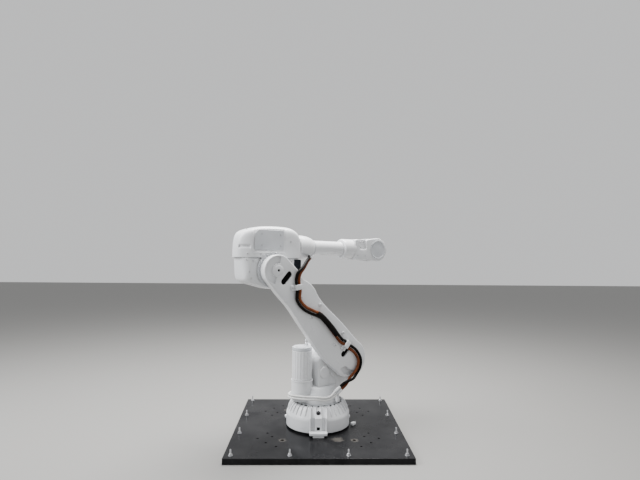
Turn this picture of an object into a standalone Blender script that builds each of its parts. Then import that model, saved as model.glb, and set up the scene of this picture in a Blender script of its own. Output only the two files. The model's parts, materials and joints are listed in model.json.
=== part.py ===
"""Six-axis industrial robot arm on a square steel plate, posed with its lower arm leaning back.

The frame has its origin under the middle of the plate, X to the right along the plate's front
edge, Y towards the back and Z up. Each moving body is modelled in the frame of the axis that
carries it: x along the arm's reach, y to the arm's left, z up.
"""
import math

import bmesh
import bpy
from mathutils import Matrix, Vector

# Pose in which the arm stands
HEADING = math.radians(32.5)
LEAN = math.radians(-43.0)
FOREARM_TILT = math.radians(0.6)

# Fits shared by all pieces
SEAT_GAP = 0.0003
OVERRUN = 0.01
SMALL_EDGE = 0.002
SMOOTH_ANGLE = math.radians(35)
ROUND_STEPS = 48
FINE_STEPS = 16
HOLE_STEPS = 12

# Floor plate
PLATE_SIDE = 1.2
PLATE_THICK = 0.038
TAPPED_HOLE_R = 0.0085
LIFTING_HOLE_R = 0.014
TAPPED_HOLE_SHARES = ((0.298, 0.154), (0.347, 0.234), (0.267, 0.207), (0.295, 0.295), (0.234, 0.346))
LIFTING_HOLE_SHARES = ((0.204, 0.26),)

# Base casting, heights from the top of the plate
BASE_R = 0.2375
BASE_LIFT = 0.012
BASE_SKIRT_TOP = 0.112
BASE_SHOULDER_TOP = 0.178
DOME_SHARES = ((0.98, 0.3), (0.915, 0.72), (0.83, 1.0))
BASE_FOOTPRINT_R = 0.15
BASE_RIB_COUNT = 24
BASE_RIB_THICK = 0.008
BASE_RIB_DEPTH = 0.006
FRONT_FOOT_PAST = 0.047
FRONT_FOOT_WIDTH = 0.124
REAR_FOOT_PAST = 0.031
REAR_FOOT_WIDTH = 0.09
FOOT_TOE_HEIGHT = 0.034
FOOT_TOE_LENGTH = 0.032
FOOT_WALL_THICK = 0.017
FOOT_CHANNEL_DEPTH = 0.013
FOOT_NOTCH = 0.022
FOOT_WINDOW = 0.022
FOOT_ANGLES = (math.radians(-90), math.radians(30), math.radians(150))
BEARING_RING_R = 0.165
BEARING_RING_TOP = 0.19
CONNECTOR_BOX_WIDTH = 0.15
CONNECTOR_BOX_HEIGHT = 0.1
CONNECTOR_BOX_DEPTH = 0.073

# Turret, heights from the top of the plate
TURRET_FLOOR_R = 0.157
TURRET_FLOOR_TOP = 0.232
TURRET_FLARE_TOP = 0.3
TURRET_FLARE_R = 0.125
TURRET_RIGHT = 0.092
TURRET_LEFT = 0.112
COLUMN_EDGE = 0.006
SHOULDER_OFFSET = 0.175
SHOULDER_HEIGHT = 0.495
SHOULDER_HUB_R = 0.128
COLUMN_SHARES = (
    (-0.33, -0.03), (-0.33, 0.98), (-0.11, 1.24), (0.69, 1.43), (1.0, 1.45),
    (1.6, 0.87), (1.5, 0.47), (0.86, -0.03),
)
MOTOR1_OFFSET = 0.142
MOTOR1_R = 0.073
MOTOR1_FOOT_RIM = 0.009
MOTOR1_FOOT_HEIGHT = 0.1
MOTOR1_TOP = 0.593
MOTOR1_CAP_HEIGHT = 0.03
MOTOR_FLUTE_COUNT = 20
MOTOR_FLUTE_R = 0.0035
LOBE_BOTTOM = 0.2
LOBE_TAPER = 0.8
LOBE_TOP = 0.252
WEB_SHARE = 0.7
ENTRY_LENGTH = 0.05
ENTRY_REACH = 0.118
MOTOR2_R = 0.066
MOTOR2_LENGTH = 0.17
MOTOR2_FLANGE_R = 0.1
MOTOR2_FLANGE_THICK = 0.03
LIFTING_EYE_R = 0.018
LIFTING_EYE_BAR_R = 0.006
LIFTING_EYE_STEM = 0.012

# Lower arm, places measured from axis 2 along the arm
LOWER_ARM_LENGTH = 0.9
LOWER_ARM_OUTER = 0.171
LOWER_ARM_THICK = 0.0625
ARM_EDGE = 0.006
ARM_SHOULDER_R = 0.142
ARM_ELBOW_R = 0.107
ARM_REAR_BULGE = 0.156
ARM_FRONT_BULGE = 0.118
ARM_REAR_SHARES = ((0.72, 0.86), (0.72, 0.72), (0.86, 0.5), (1.0, 0.22))
ARM_FRONT_SHARES = (
    (1.12, 0.08), (0.97, 0.28), (0.82, 0.5), (0.84, 0.6), (0.98, 0.67), (0.98, 0.73), (0.84, 0.8),
    (0.82, 0.85), (0.95, 0.875), (0.94, 0.91),
)
BOSS_RIM = 0.011
DISH_DEPTH = 0.012
HUB_R = 0.034
HUB_HOLE_R = 0.009
HUB_HOLE_DEPTH = 0.02
DISH_START = math.radians(36)
DISH_END = math.radians(212)
SLOT_LENGTH = 0.104
SLOT_WIDTH = 0.036
SLOT_DEPTH = 0.03
UPPER_SLOT_SHARES = (0.085, 0.91)
UPPER_SLOT_TURN = math.radians(-84)
LOWER_SLOT_SHARES = (0.17, 0.085)
LOWER_SLOT_TURN = math.radians(-90)
POCKET_DEPTH = 0.005
POCKET_SHARES = (
    (-0.95, 0.02), (-0.56, -0.007), (-0.48, -0.068), (-0.2, -0.118),
    (-0.34, -0.131), (-0.64, -0.111), (-0.85, -0.08), (-1.0, -0.033),
)

# Upper arm, places measured from axis 3
FOREARM_RISE = 0.168
COVER_RIGHT = 0.1
COVER_LEFT = 0.15
COVER_BACK = 0.25
COVER_FRONT = 0.224
COVER_BOTTOM = 0.086
COVER_TOP = 0.308
COVER_SIDE_SHARES = ((-0.98, 0.0), (-1.0, 0.5), (-0.9, 0.78), (-0.4, 1.0), (0.72, 1.0), (0.98, 0.74), (1.0, 0.0))
COVER_PLAN_SHARES = (
    (-1.0, -0.3), (-1.0, 0.5), (-0.72, 0.93), (-0.38, 1.0), (0.45, 1.0), (1.0, 0.66),
    (1.0, -0.8), (0.66, -0.88), (0.33, -1.0), (-0.63, -1.0),
)
COVER_SECTION_SHARES = ((-1.0, 0.0), (-1.0, 0.85), (-0.72, 1.0), (0.75, 1.0), (1.0, 0.84), (1.0, 0.0))
CASTING_DROP = 0.146
CASTING_INSET = 0.008
CASTING_SIDE_SHARES = (
    (-0.91, 1.0), (-0.9, 0.73), (-0.85, 0.54), (-0.65, 0.23), (-0.4, 0.11), (-0.08, 0.0), (0.16, 0.0),
    (0.55, 0.16), (0.86, 0.5), (0.98, 0.85), (0.98, 1.0),
)
ELBOW_RING_R = 0.125
PANEL_BACK = 0.15
PANEL_FRONT = 0.078
PANEL_BOTTOM = 0.137
PANEL_TOP = 0.277
PANEL_POCKET = 0.007
PANEL_THICK = 0.005
PANEL_CORNER = 0.03
NECK_ROOT_R = 0.089
NECK_TIP_R = 0.068
NECK_END = 0.362
PLUG_BOX_BACK = 0.15
PLUG_BOX_FRONT = 0.2
PLUG_BOX_DROP = 0.085
PLUG_BOX_PROUD = 0.004
PLUG_BOX_DEPTH = 0.05

# Forearm and wrist, lengths from the elbow along axis 4
COLLAR_LENGTH = 0.012
TUBE_R = 0.0545
TUBE_END = 0.612
WRIST_REACH = 0.96
WRIST_HALF_WIDTH = 0.073
WRIST_TOP = 0.078
WRIST_BOTTOM = 0.086
WRIST_EDGE = 0.01
WRIST_TAPER = 0.022
WRIST_END_R = 0.096
FORK_ROOT = 0.126
FORK_SLOT_HALF = 0.0505
FORK_STEP_BACK = 0.184
FORK_STEP_FRONT = 0.117
FORK_STEP_DEPTH = 0.014
WRIST_COVER_R = 0.074
WRIST_COVER_THICK = 0.005
KNUCKLE_HALF_WIDTH = 0.0455
KNUCKLE_R = 0.08
KNUCKLE_NOSE = 0.096
KNUCKLE_NOSE_R = 0.044
TRUNNION_R = 0.05
FLANGE_R = 0.0445
FLANGE_THICK = 0.022
FLANGE_RECESS_R = 0.022
FLANGE_RECESS_DEPTH = 0.006

# Hoses and cables
HOSE_R = 0.0105
HOSE_SPACING = 0.003
HOSE_PITCH = 2 * HOSE_R + HOSE_SPACING
HOSE_STANDOFF = 0.017
HOSE_STEP = 0.022
CABLE_R = 0.0075
CABLE_PITCH = 0.018
CLAMP_LENGTH = 0.03
CLAMP_WIDTH = 0.054
CLAMP_HEIGHT = 0.034
CLAMP_EAR = 0.024
CLAMP_EAR_HEIGHT = 0.016
CLAMP_PLAY = HOSE_SPACING / 4
MOUTH_SHARE = 0.75
CONNECTOR_R = HOSE_R + CLAMP_PLAY
CONNECTOR_LENGTH = 0.05
CONNECTOR_HEIGHT = 0.283
BRACKET_X = 0.052
BRACKET_THICK = 0.02
BRACKET_TOP = 0.272

ARM_INNER = LOWER_ARM_OUTER - LOWER_ARM_THICK
HOSE_LINE = LOWER_ARM_OUTER + HOSE_STANDOFF
LOW_CLAMP = (0.04, 0.116)
LOW_CLAMP_RUN = Vector((-0.13, 0.0, 0.99)).normalized()
HIGH_CLAMP = (0.027, 0.717)
HIGH_CLAMP_RUN = Vector((0.55, 0.0, 0.835)).normalized()
CONNECTOR_RUN = Vector((0.84, 0.0, 0.54)).normalized()
GLAND_LENGTH = 0.05
GLAND_WALL = 0.003
NECK_ENTRY = (0.314, -0.066, 0.107)
NECK_ENTRY_RUN = Vector((0.64, 0.4, 0.66)).normalized()

# Paint and materials: name, colour, roughness, metallic
WHITE_PAINT = ("white_paint", (0.74, 0.75, 0.76), 0.38, 0.0)
GREY_PAINT = ("grey_paint", (0.6, 0.61, 0.62), 0.42, 0.0)
BLACK_STEEL = ("black_steel", (0.02, 0.02, 0.022), 0.3, 0.4)
BARE_STEEL = ("bare_steel", (0.55, 0.55, 0.56), 0.35, 1.0)
DARK_PLASTIC = ("dark_plastic", (0.035, 0.045, 0.06), 0.5, 0.0)
BLACK_RUBBER = ("black_rubber", (0.015, 0.014, 0.014), 0.55, 0.0)
COPPER_SLEEVE = ("copper_sleeve", (0.42, 0.14, 0.06), 0.5, 0.0)
WHITE_CABLE = ("white_cable", (0.72, 0.71, 0.67), 0.5, 0.0)


def clear_scene():
    """Remove whatever objects the file holds."""
    for item in list(bpy.data.objects):
        bpy.data.objects.remove(item)


def material(finish):
    """Return the Principled material of a finish, made once."""
    name, colour, roughness, metallic = finish
    made = bpy.data.materials.get(name)
    if made is None:
        made = bpy.data.materials.new(name)
        made.use_nodes = True
        shader = made.node_tree.nodes["Principled BSDF"]
        shader.inputs["Base Color"].default_value = (*colour, 1.0)
        shader.inputs["Roughness"].default_value = roughness
        shader.inputs["Metallic"].default_value = metallic
    return made


def empty(name, parent, location, turn_y=0.0, turn_z=0.0):
    """Place an empty that carries one body on its joint's axis."""
    axis = bpy.data.objects.new(name, None)
    axis.parent = parent
    axis.location = location
    axis.rotation_euler = (0, turn_y, turn_z)
    bpy.context.collection.objects.link(axis)
    return axis


def link(name, mesh, frame):
    """Make an object of a bmesh under the frame that carries it."""
    data = bpy.data.meshes.new(name)
    mesh.to_mesh(data)
    mesh.free()
    data.shade_smooth()
    data.set_sharp_from_angle(angle=SMOOTH_ANGLE)
    item = bpy.data.objects.new(name, data)
    item.parent = frame
    bpy.context.collection.objects.link(item)
    return item


def node(name, mesh, frame, finish, join=(), trim=(), cut=()):
    """Make one named piece, joined with, trimmed to and cut by the given meshes in that order."""
    item = link(name, mesh, frame)
    item.data.materials.append(material(finish))
    steps = [("UNION", tool) for tool in join]
    steps += [("INTERSECT", tool) for tool in trim]
    steps += [("DIFFERENCE", tool) for tool in cut]
    for number, (operation, tool_mesh) in enumerate(steps):
        tool = link(f"{name}_tool_{number}", tool_mesh, frame)
        tool.hide_render = True
        tool.display_type = "WIRE"
        change = item.modifiers.new(f"{operation.lower()}_{number}", "BOOLEAN")
        change.operation = operation
        change.object = tool
        change.solver = "EXACT"
    return item


def merged(meshes):
    """Put several separate closed meshes into one bmesh."""
    whole = bmesh.new()
    for mesh in meshes:
        data = bpy.data.meshes.new("shell")
        mesh.to_mesh(data)
        mesh.free()
        whole.from_mesh(data)
        bpy.data.meshes.remove(data)
    return whole


def moved(mesh, location=(0, 0, 0), direction=(0, 0, 1)):
    """Turn a mesh's Z axis to a direction and carry it to a place."""
    turn = Vector((0, 0, 1)).rotation_difference(Vector(direction)).to_matrix().to_4x4()
    mesh.transform(Matrix.Translation(Vector(location)) @ turn)
    return mesh


def faced_out(mesh):
    """Turn the faces of one closed shell outwards."""
    bmesh.ops.recalc_face_normals(mesh, faces=mesh.faces)
    if mesh.calc_volume(signed=True) < 0:
        bmesh.ops.reverse_faces(mesh, faces=mesh.faces)
    return mesh


def turned(profile, steps=ROUND_STEPS):
    """Revolve (radius, height) points about Z; a profile off the axis closes on itself as a ring."""
    mesh = bmesh.new()
    rings = []
    for radius, height in profile:
        if radius > 0:
            angles = [2 * math.pi * i / steps for i in range(steps)]
            rings.append([mesh.verts.new((radius * math.cos(a), radius * math.sin(a), height)) for a in angles])
        else:
            rings.append([mesh.verts.new((0, 0, height))])
    pairs = list(zip(rings, rings[1:]))
    if profile[0][0] > 0 and profile[-1][0] > 0:
        pairs.append((rings[-1], rings[0]))
    for one, other in pairs:
        for i in range(steps):
            j = i + 1
            quad = (one[i % len(one)], one[j % len(one)], other[j % len(other)], other[i % len(other)])
            corners = list(dict.fromkeys(quad))
            if len(corners) > 2:
                mesh.faces.new(corners)
    return faced_out(mesh)


def disc(radius, bottom, top, edge=0.0, steps=ROUND_STEPS):
    """A round block about Z, its two rims chamfered by edge."""
    rim = [(radius, bottom), (radius, top)]
    if edge > 0:
        rim = [(radius - edge, bottom), (radius, bottom + edge), (radius, top - edge), (radius - edge, top)]
    return turned([(0, bottom), *rim, (0, top)], steps)


def prism(outline, low, high, along="Y", edge=0.0):
    """Extrude an outline: (x, z) points along Y, (x, y) points along Z or (y, z) points along X."""
    place = {
        "X": lambda a, b, depth: (depth, a, b),
        "Y": lambda a, b, depth: (a, depth, b),
        "Z": lambda a, b, depth: (a, b, depth),
    }[along]
    mesh = bmesh.new()
    near = [mesh.verts.new(place(a, b, low)) for a, b in outline]
    far = [mesh.verts.new(place(a, b, high)) for a, b in outline]
    count = len(outline)
    mesh.faces.new(near)
    mesh.faces.new(list(reversed(far)))
    for i in range(count):
        mesh.faces.new((near[i], near[(i + 1) % count], far[(i + 1) % count], far[i]))
    faced_out(mesh)
    if edge > 0:
        rims = [e for e in mesh.edges if (e.verts[0] in near) == (e.verts[1] in near)]
        bmesh.ops.bevel(mesh, geom=rims, offset=edge, segments=1, affect="EDGES")
    return mesh


def block(low, high, edge=0.0):
    """A box between two corners."""
    outline = [(low[0], low[2]), (high[0], low[2]), (high[0], high[2]), (low[0], high[2])]
    return prism(outline, low[1], high[1], "Y", edge)


def arc(centre, radius, start, end, steps):
    """Points on a circle's arc, angles in radians, both ends included."""
    span = (end - start) / steps
    angles = [start + span * i for i in range(steps + 1)]
    return [(centre[0] + radius * math.cos(a), centre[1] + radius * math.sin(a)) for a in angles]


def stadium(length, width):
    """Outline of a slot with round ends, its length along the second coordinate."""
    half = (length - width) / 2
    steps = FINE_STEPS // 2
    return arc((0, half), width / 2, 0, math.pi, steps) + arc((0, -half), width / 2, math.pi, 2 * math.pi, steps)


def spread(shares, backward, forward, base, rise):
    """Turn (along, up) shares into points: along from backward to forward, up from base by rise."""
    return [(along * (forward if along > 0 else backward), base + rise * up) for along, up in shares]


def smooth_route(knots, step):
    """Points about a step apart on a smooth curve through a route's own points."""
    knots = [Vector(knot) for knot in knots]
    ends = [2 * knots[0] - knots[1], *knots, 2 * knots[-1] - knots[-2]]
    route = []
    for i in range(len(knots) - 1):
        before, start, end, after = ends[i : i + 4]
        pieces = max(1, round((end - start).length / step))
        for j in range(pieces):
            t = j / pieces
            linear = (end - before) * t
            square = (2 * before - 5 * start + 4 * end - after) * t**2
            cube = (3 * start - before - 3 * end + after) * t**3
            route.append(start + (linear + square + cube) / 2)
    route.append(knots[-1])
    return route


def beside(route, offset, up):
    """Shift a route sideways by offset, square to its run and up; both end pieces stay straight."""
    shifted = []
    last = len(route) - 1
    for i, point in enumerate(route):
        before = max(i - 1, 0) if i < last - 1 else last - 1
        after = min(i + 1, last) if i > 1 else 1
        run = route[after] - route[before]
        shifted.append(point + run.cross(Vector(up)).normalized() * offset)
    return shifted


def tube(name, route, radius, frame, finish):
    """A round hose or cable along a route, with flat closed ends."""
    curve = bpy.data.curves.new(name, "CURVE")
    curve.dimensions = "3D"
    curve.bevel_depth = radius
    curve.bevel_resolution = 2
    curve.use_fill_caps = True
    spline = curve.splines.new("POLY")
    spline.points.add(len(route) - 1)
    for point, place in zip(spline.points, route):
        point.co = (*place, 1.0)
    item = bpy.data.objects.new(name, curve)
    item.data.materials.append(material(finish))
    item.parent = frame
    bpy.context.collection.objects.link(item)
    return item


def base_plate():
    """Square floor plate with the tapped holes of its bolt patterns."""
    half = PLATE_SIDE / 2
    plate = block((-half, -half, 0), (half, half, PLATE_THICK), SMALL_EDGE)
    drills = []
    for shares, radius in ((TAPPED_HOLE_SHARES, TAPPED_HOLE_R), (LIFTING_HOLE_SHARES, LIFTING_HOLE_R)):
        for x_share, y_share in shares:
            for right, back in ((1, 1), (1, -1), (-1, 1), (-1, -1)):
                drill = disc(radius, -OVERRUN, PLATE_THICK + OVERRUN, steps=HOLE_STEPS)
                place = (right * x_share * PLATE_SIDE, back * y_share * PLATE_SIDE, 0)
                drills.append(moved(drill, place))
    node("base_plate", plate, None, BLACK_STEEL, cut=[merged(drills)])


def dome_shoulder():
    """The dome's shoulder above its skirt, as (radius, height) points from the skirt inwards."""
    rise = BASE_SHOULDER_TOP - BASE_SKIRT_TOP
    return [(BASE_R * radius, BASE_SKIRT_TOP + rise * height) for radius, height in DOME_SHARES]


def foot(reach, width, angle):
    """One foot of the base: toe on the plate, two side walls and the channel between them."""
    body = reach - FOOT_TOE_LENGTH
    (low_r, low_z), (mid_r, mid_z), (top_r, top_z) = dome_shoulder()
    shells = []
    for back, half in ((0, width / 2), (FOOT_CHANNEL_DEPTH, width / 2 - FOOT_WALL_THICK)):
        outline = [
            (BASE_FOOTPRINT_R - 2 * OVERRUN, SEAT_GAP),
            (reach - SMALL_EDGE, SEAT_GAP),
            (reach, FOOT_TOE_HEIGHT / 2),
            (reach - SMALL_EDGE, FOOT_TOE_HEIGHT),
            (body - back, FOOT_TOE_HEIGHT + SMALL_EDGE),
            (body - back - SMALL_EDGE, low_z),
            (mid_r + OVERRUN - back, mid_z + SMALL_EDGE),
            (top_r, top_z - SMALL_EDGE),
            (top_r - 2 * OVERRUN, top_z - SMALL_EDGE),
        ]
        if back:
            floor = [(r - SMALL_EDGE, z - SMALL_EDGE / 2) if z > SEAT_GAP else (r, z) for r, z in outline]
            shells.append(prism(floor, -half - SMALL_EDGE, half + SMALL_EDGE, "Y"))
        else:
            for side in (-1, 1):
                inner = side * (half - FOOT_WALL_THICK)
                shells.append(prism(outline, min(inner, side * half), max(inner, side * half), "Y"))
    for shell in shells:
        shell.transform(Matrix.Rotation(angle, 4, "Z"))
    return shells


def base_casting(deck):
    """Domed base: round skirt clear of the plate, ribbed shoulder, bearing seat and three feet."""
    shoulder = dome_shoulder()
    dome = turned([
        (0, SEAT_GAP),
        (BASE_FOOTPRINT_R, SEAT_GAP),
        (BASE_FOOTPRINT_R, BASE_LIFT),
        (BASE_R - SMALL_EDGE, BASE_LIFT),
        (BASE_R, BASE_LIFT + SMALL_EDGE),
        (BASE_R, BASE_SKIRT_TOP),
        *shoulder,
        (0, BASE_SHOULDER_TOP),
    ])
    widths = (FRONT_FOOT_WIDTH, REAR_FOOT_WIDTH, REAR_FOOT_WIDTH)
    pasts = (FRONT_FOOT_PAST, REAR_FOOT_PAST, REAR_FOOT_PAST)
    feet = []
    for past, width, angle in zip(pasts, widths, FOOT_ANGLES):
        feet += foot(BASE_R + past, width, angle)
    (low_r, low_z), (mid_r, mid_z), (top_r, top_z) = shoulder
    rib_inner = top_r - 3 * BASE_RIB_DEPTH
    rib_outline = [
        (rib_inner, low_z - BASE_RIB_DEPTH),
        (low_r - SMALL_EDGE, low_z - BASE_RIB_DEPTH),
        (low_r - SMALL_EDGE, low_z + SMALL_EDGE),
        (mid_r + BASE_RIB_DEPTH / 2, mid_z + BASE_RIB_DEPTH / 2),
        (top_r, top_z + BASE_RIB_DEPTH),
        (rib_inner, top_z + BASE_RIB_DEPTH),
    ]
    ribs = []
    for number in range(BASE_RIB_COUNT):
        rib = prism(rib_outline, -BASE_RIB_THICK / 2, BASE_RIB_THICK / 2, "Y")
        rib.transform(Matrix.Rotation(2 * math.pi * (number + 0.5) / BASE_RIB_COUNT, 4, "Z"))
        ribs.append(rib)
    front = BASE_R + FRONT_FOOT_PAST
    window_bottom = FOOT_TOE_HEIGHT + 2 * SMALL_EDGE
    window = block(
        (-FOOT_WINDOW / 2, -front, window_bottom),
        (FOOT_WINDOW / 2, -front + FOOT_TOE_LENGTH + 3 * FOOT_CHANNEL_DEPTH, window_bottom + FOOT_WINDOW),
    )
    notches = []
    for side in (-1, 1):
        outer = side * (FRONT_FOOT_WIDTH / 2 + OVERRUN)
        inner = side * (FRONT_FOOT_WIDTH / 2 - FOOT_NOTCH)
        low = (min(outer, inner), -front - OVERRUN, -OVERRUN)
        high = (max(outer, inner), -BASE_R, BASE_LIFT + SMALL_EDGE / 2)
        notches.append(block(low, high))
    node("base_casting", dome, deck, WHITE_PAINT, join=[*feet, merged(ribs)], cut=[window, merged(notches)])


def bearing_ring(deck):
    """Bolted ring on the base, in which the turret turns."""
    ring = disc(BEARING_RING_R, BASE_SHOULDER_TOP + SEAT_GAP, BEARING_RING_TOP, SMALL_EDGE)
    node("bearing_ring", ring, deck, GREY_PAINT)


def connector_box(deck):
    """Closed box behind the base that takes the power and signal plugs."""
    low = (-CONNECTOR_BOX_WIDTH / 2, BASE_FOOTPRINT_R, BASE_LIFT)
    high = (CONNECTOR_BOX_WIDTH / 2, BASE_R + CONNECTOR_BOX_DEPTH, BASE_LIFT + CONNECTOR_BOX_HEIGHT)
    around = disc(BASE_R + SEAT_GAP, 0, BASE_SHOULDER_TOP)
    node("base_connector_box", block(low, high, SMALL_EDGE), deck, WHITE_PAINT, cut=[around])


def turret_casting(turret):
    """Turning column: round floor, flared foot, shoulder hub and the lobe that carries the motor."""
    bottom = BEARING_RING_TOP + SEAT_GAP
    floor = turned([
        (0, bottom),
        (TURRET_FLOOR_R, bottom),
        (TURRET_FLOOR_R, TURRET_FLOOR_TOP - SMALL_EDGE),
        (TURRET_FLOOR_R - SMALL_EDGE, TURRET_FLOOR_TOP),
        (TURRET_FLARE_R, TURRET_FLARE_TOP),
        (0, TURRET_FLARE_TOP),
    ])
    outline = spread(
        COLUMN_SHARES, SHOULDER_OFFSET, SHOULDER_OFFSET, TURRET_FLOOR_TOP, SHOULDER_HEIGHT - TURRET_FLOOR_TOP
    )
    column = prism(outline, -TURRET_RIGHT, TURRET_LEFT, "Y", COLUMN_EDGE)
    hub = disc(SHOULDER_HUB_R, -TURRET_LEFT, TURRET_RIGHT, SMALL_EDGE)
    hub = moved(hub, (SHOULDER_OFFSET, 0, SHOULDER_HEIGHT), (0, -1, 0))
    lobe_r = MOTOR1_R + MOTOR1_FOOT_RIM
    lobe = turned([
        (0, LOBE_BOTTOM),
        (lobe_r * LOBE_TAPER, LOBE_BOTTOM),
        (lobe_r, (LOBE_BOTTOM + LOBE_TOP) / 2),
        (lobe_r, LOBE_TOP),
        (0, LOBE_TOP),
    ])
    lobe = moved(lobe, (-MOTOR1_OFFSET, 0, 0))
    web_half = lobe_r * WEB_SHARE
    web = block((-MOTOR1_OFFSET, -web_half, LOBE_BOTTOM + SMALL_EDGE), (0, web_half, LOBE_TOP - SMALL_EDGE))
    entry = block(
        (-MOTOR1_OFFSET, 0, LOBE_BOTTOM + SMALL_EDGE),
        (-MOTOR1_OFFSET + ENTRY_LENGTH, ENTRY_REACH, LOBE_TOP - SMALL_EDGE),
        SMALL_EDGE,
    )
    recess = moved(disc(lobe_r, LOBE_TOP, MOTOR1_TOP), (-MOTOR1_OFFSET, 0, 0))
    node("turret_casting", floor, turret, WHITE_PAINT, join=[column, hub, lobe, web, entry], cut=[recess])


def axis1_motor(turret):
    """Upright motor behind the turret: round foot, fluted body and cap."""
    foot_top = LOBE_TOP + MOTOR1_FOOT_HEIGHT
    place = (-MOTOR1_OFFSET, 0, 0)
    foot_disc = disc(MOTOR1_R + MOTOR1_FOOT_RIM / 2, LOBE_TOP + SEAT_GAP, foot_top, SMALL_EDGE)
    node("axis1_motor_foot", moved(foot_disc, place), turret, WHITE_PAINT)
    cap_bottom = MOTOR1_TOP - MOTOR1_CAP_HEIGHT
    body = disc(MOTOR1_R, foot_top + SEAT_GAP, cap_bottom, SMALL_EDGE)
    flutes = []
    for number in range(MOTOR_FLUTE_COUNT):
        angle = 2 * math.pi * (number + 0.5) / MOTOR_FLUTE_COUNT
        flute = disc(MOTOR_FLUTE_R, foot_top + OVERRUN, cap_bottom + OVERRUN, steps=FINE_STEPS // 2)
        flutes.append(moved(flute, (MOTOR1_R * math.cos(angle), MOTOR1_R * math.sin(angle), 0)))
    node("axis1_motor", moved(body, place), turret, WHITE_PAINT, cut=[moved(merged(flutes), place)])
    cap = disc(MOTOR1_R, cap_bottom + SEAT_GAP, MOTOR1_TOP, 2 * SMALL_EDGE)
    node("axis1_motor_cap", moved(cap, place), turret, GREY_PAINT)


def lifting_eye(turret):
    """Ring screwed into the top of the axis 1 motor."""
    ring_rise = LIFTING_EYE_STEM + LIFTING_EYE_R
    section = arc((LIFTING_EYE_R, 0), LIFTING_EYE_BAR_R, 0, 2 * math.pi, FINE_STEPS // 2)[:-1]
    place = Vector((-MOTOR1_OFFSET + MOTOR1_R / 2, 0, MOTOR1_TOP + SEAT_GAP))
    ring = moved(turned(section, FINE_STEPS), place + Vector((0, 0, ring_rise)), (1, 0, 0))
    stem_low = LIFTING_EYE_BAR_R / 2
    stem = disc(LIFTING_EYE_BAR_R, stem_low, stem_low + LIFTING_EYE_STEM, steps=FINE_STEPS)
    collar = disc(2 * LIFTING_EYE_BAR_R, 0, LIFTING_EYE_BAR_R, steps=FINE_STEPS)
    node("lifting_eye", ring, turret, BARE_STEEL, join=[moved(stem, place), moved(collar, place)])


def shoulder_drive(turret):
    """Gear unit between the column and the lower arm, and the axis 2 motor on the far side."""
    place = (SHOULDER_OFFSET, 0, SHOULDER_HEIGHT)
    gear = disc(SHOULDER_HUB_R - SMALL_EDGE, TURRET_RIGHT + SEAT_GAP, ARM_INNER - SEAT_GAP, SMALL_EDGE)
    node("shoulder_gearbox", moved(gear, place, (0, -1, 0)), turret, GREY_PAINT)
    flange_end = TURRET_LEFT + MOTOR2_FLANGE_THICK
    flange = disc(MOTOR2_FLANGE_R, TURRET_LEFT + SEAT_GAP, flange_end, SMALL_EDGE)
    node("axis2_motor_flange", moved(flange, place, (0, 1, 0)), turret, WHITE_PAINT)
    body_end = flange_end + MOTOR2_LENGTH
    body = disc(MOTOR2_R, flange_end + SEAT_GAP, body_end, SMALL_EDGE)
    node("axis2_motor", moved(body, place, (0, 1, 0)), turret, WHITE_PAINT)
    cap = disc(MOTOR2_R - SMALL_EDGE, body_end + SEAT_GAP, body_end + MOTOR1_CAP_HEIGHT, 2 * SMALL_EDGE)
    node("axis2_motor_cap", moved(cap, place, (0, 1, 0)), turret, GREY_PAINT)


def connector_end(side, along):
    """A point on a connector's middle line: side in hose pitches across the run, along in metres."""
    across = CONNECTOR_RUN.cross(Vector((0, 1, 0))).normalized()
    middle = Vector((BRACKET_X, -HOSE_LINE, CONNECTOR_HEIGHT))
    return middle + across * (side * HOSE_PITCH) + CONNECTOR_RUN * along


def hose_bracket(turret):
    """Bracket on the turret's rim that holds the two hose connectors."""
    low = (BRACKET_X - BRACKET_THICK / 2, -HOSE_LINE, LOBE_BOTTOM)
    high = (BRACKET_X + BRACKET_THICK / 2, -TURRET_FLARE_R, BRACKET_TOP)
    upright = block(low, high, SMALL_EDGE)
    rim = disc(TURRET_FLOOR_R + SEAT_GAP, 0, TURRET_FLARE_TOP)
    barrels = []
    for side in (-0.5, 0.5):
        barrel = disc(CONNECTOR_R, -CONNECTOR_LENGTH / 2, CONNECTOR_LENGTH / 2, SMALL_EDGE, FINE_STEPS)
        barrels.append(moved(barrel, connector_end(side, 0), CONNECTOR_RUN))
    plate = block(
        (BRACKET_X - BRACKET_THICK / 2, -HOSE_LINE - SMALL_EDGE, BRACKET_TOP - BRACKET_THICK),
        (BRACKET_X + BRACKET_THICK / 2, -HOSE_LINE + SMALL_EDGE, CONNECTOR_HEIGHT + HOSE_PITCH / 2),
    )
    node("hose_bracket", upright, turret, WHITE_PAINT, join=[plate, *barrels], cut=[rim])


def lower_arm_outline():
    """Side view of the lower arm: elbow and shoulder rounds joined by two swelling edges."""
    front = [(ARM_FRONT_BULGE * x, LOWER_ARM_LENGTH * z) for x, z in ARM_FRONT_SHARES]
    rear = [(-ARM_REAR_BULGE * x, LOWER_ARM_LENGTH * z) for x, z in ARM_REAR_SHARES]
    shoulder = arc((0, 0), ARM_SHOULDER_R, math.pi, 2 * math.pi, FINE_STEPS)
    elbow = arc((0, LOWER_ARM_LENGTH), ARM_ELBOW_R, 0, math.pi, FINE_STEPS)
    return shoulder + front + elbow + rear


def on_face(mesh, x, z, turn=0.0):
    """Lay a mesh made about Z on the lower arm's outer face, its top pointing away from the arm."""
    mesh.transform(Matrix.Rotation(turn, 4, "Z"))
    mesh.transform(Matrix.Rotation(math.pi / 2, 4, "X"))
    mesh.transform(Matrix.Translation((x, -LOWER_ARM_OUTER, z)))
    return mesh


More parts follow.
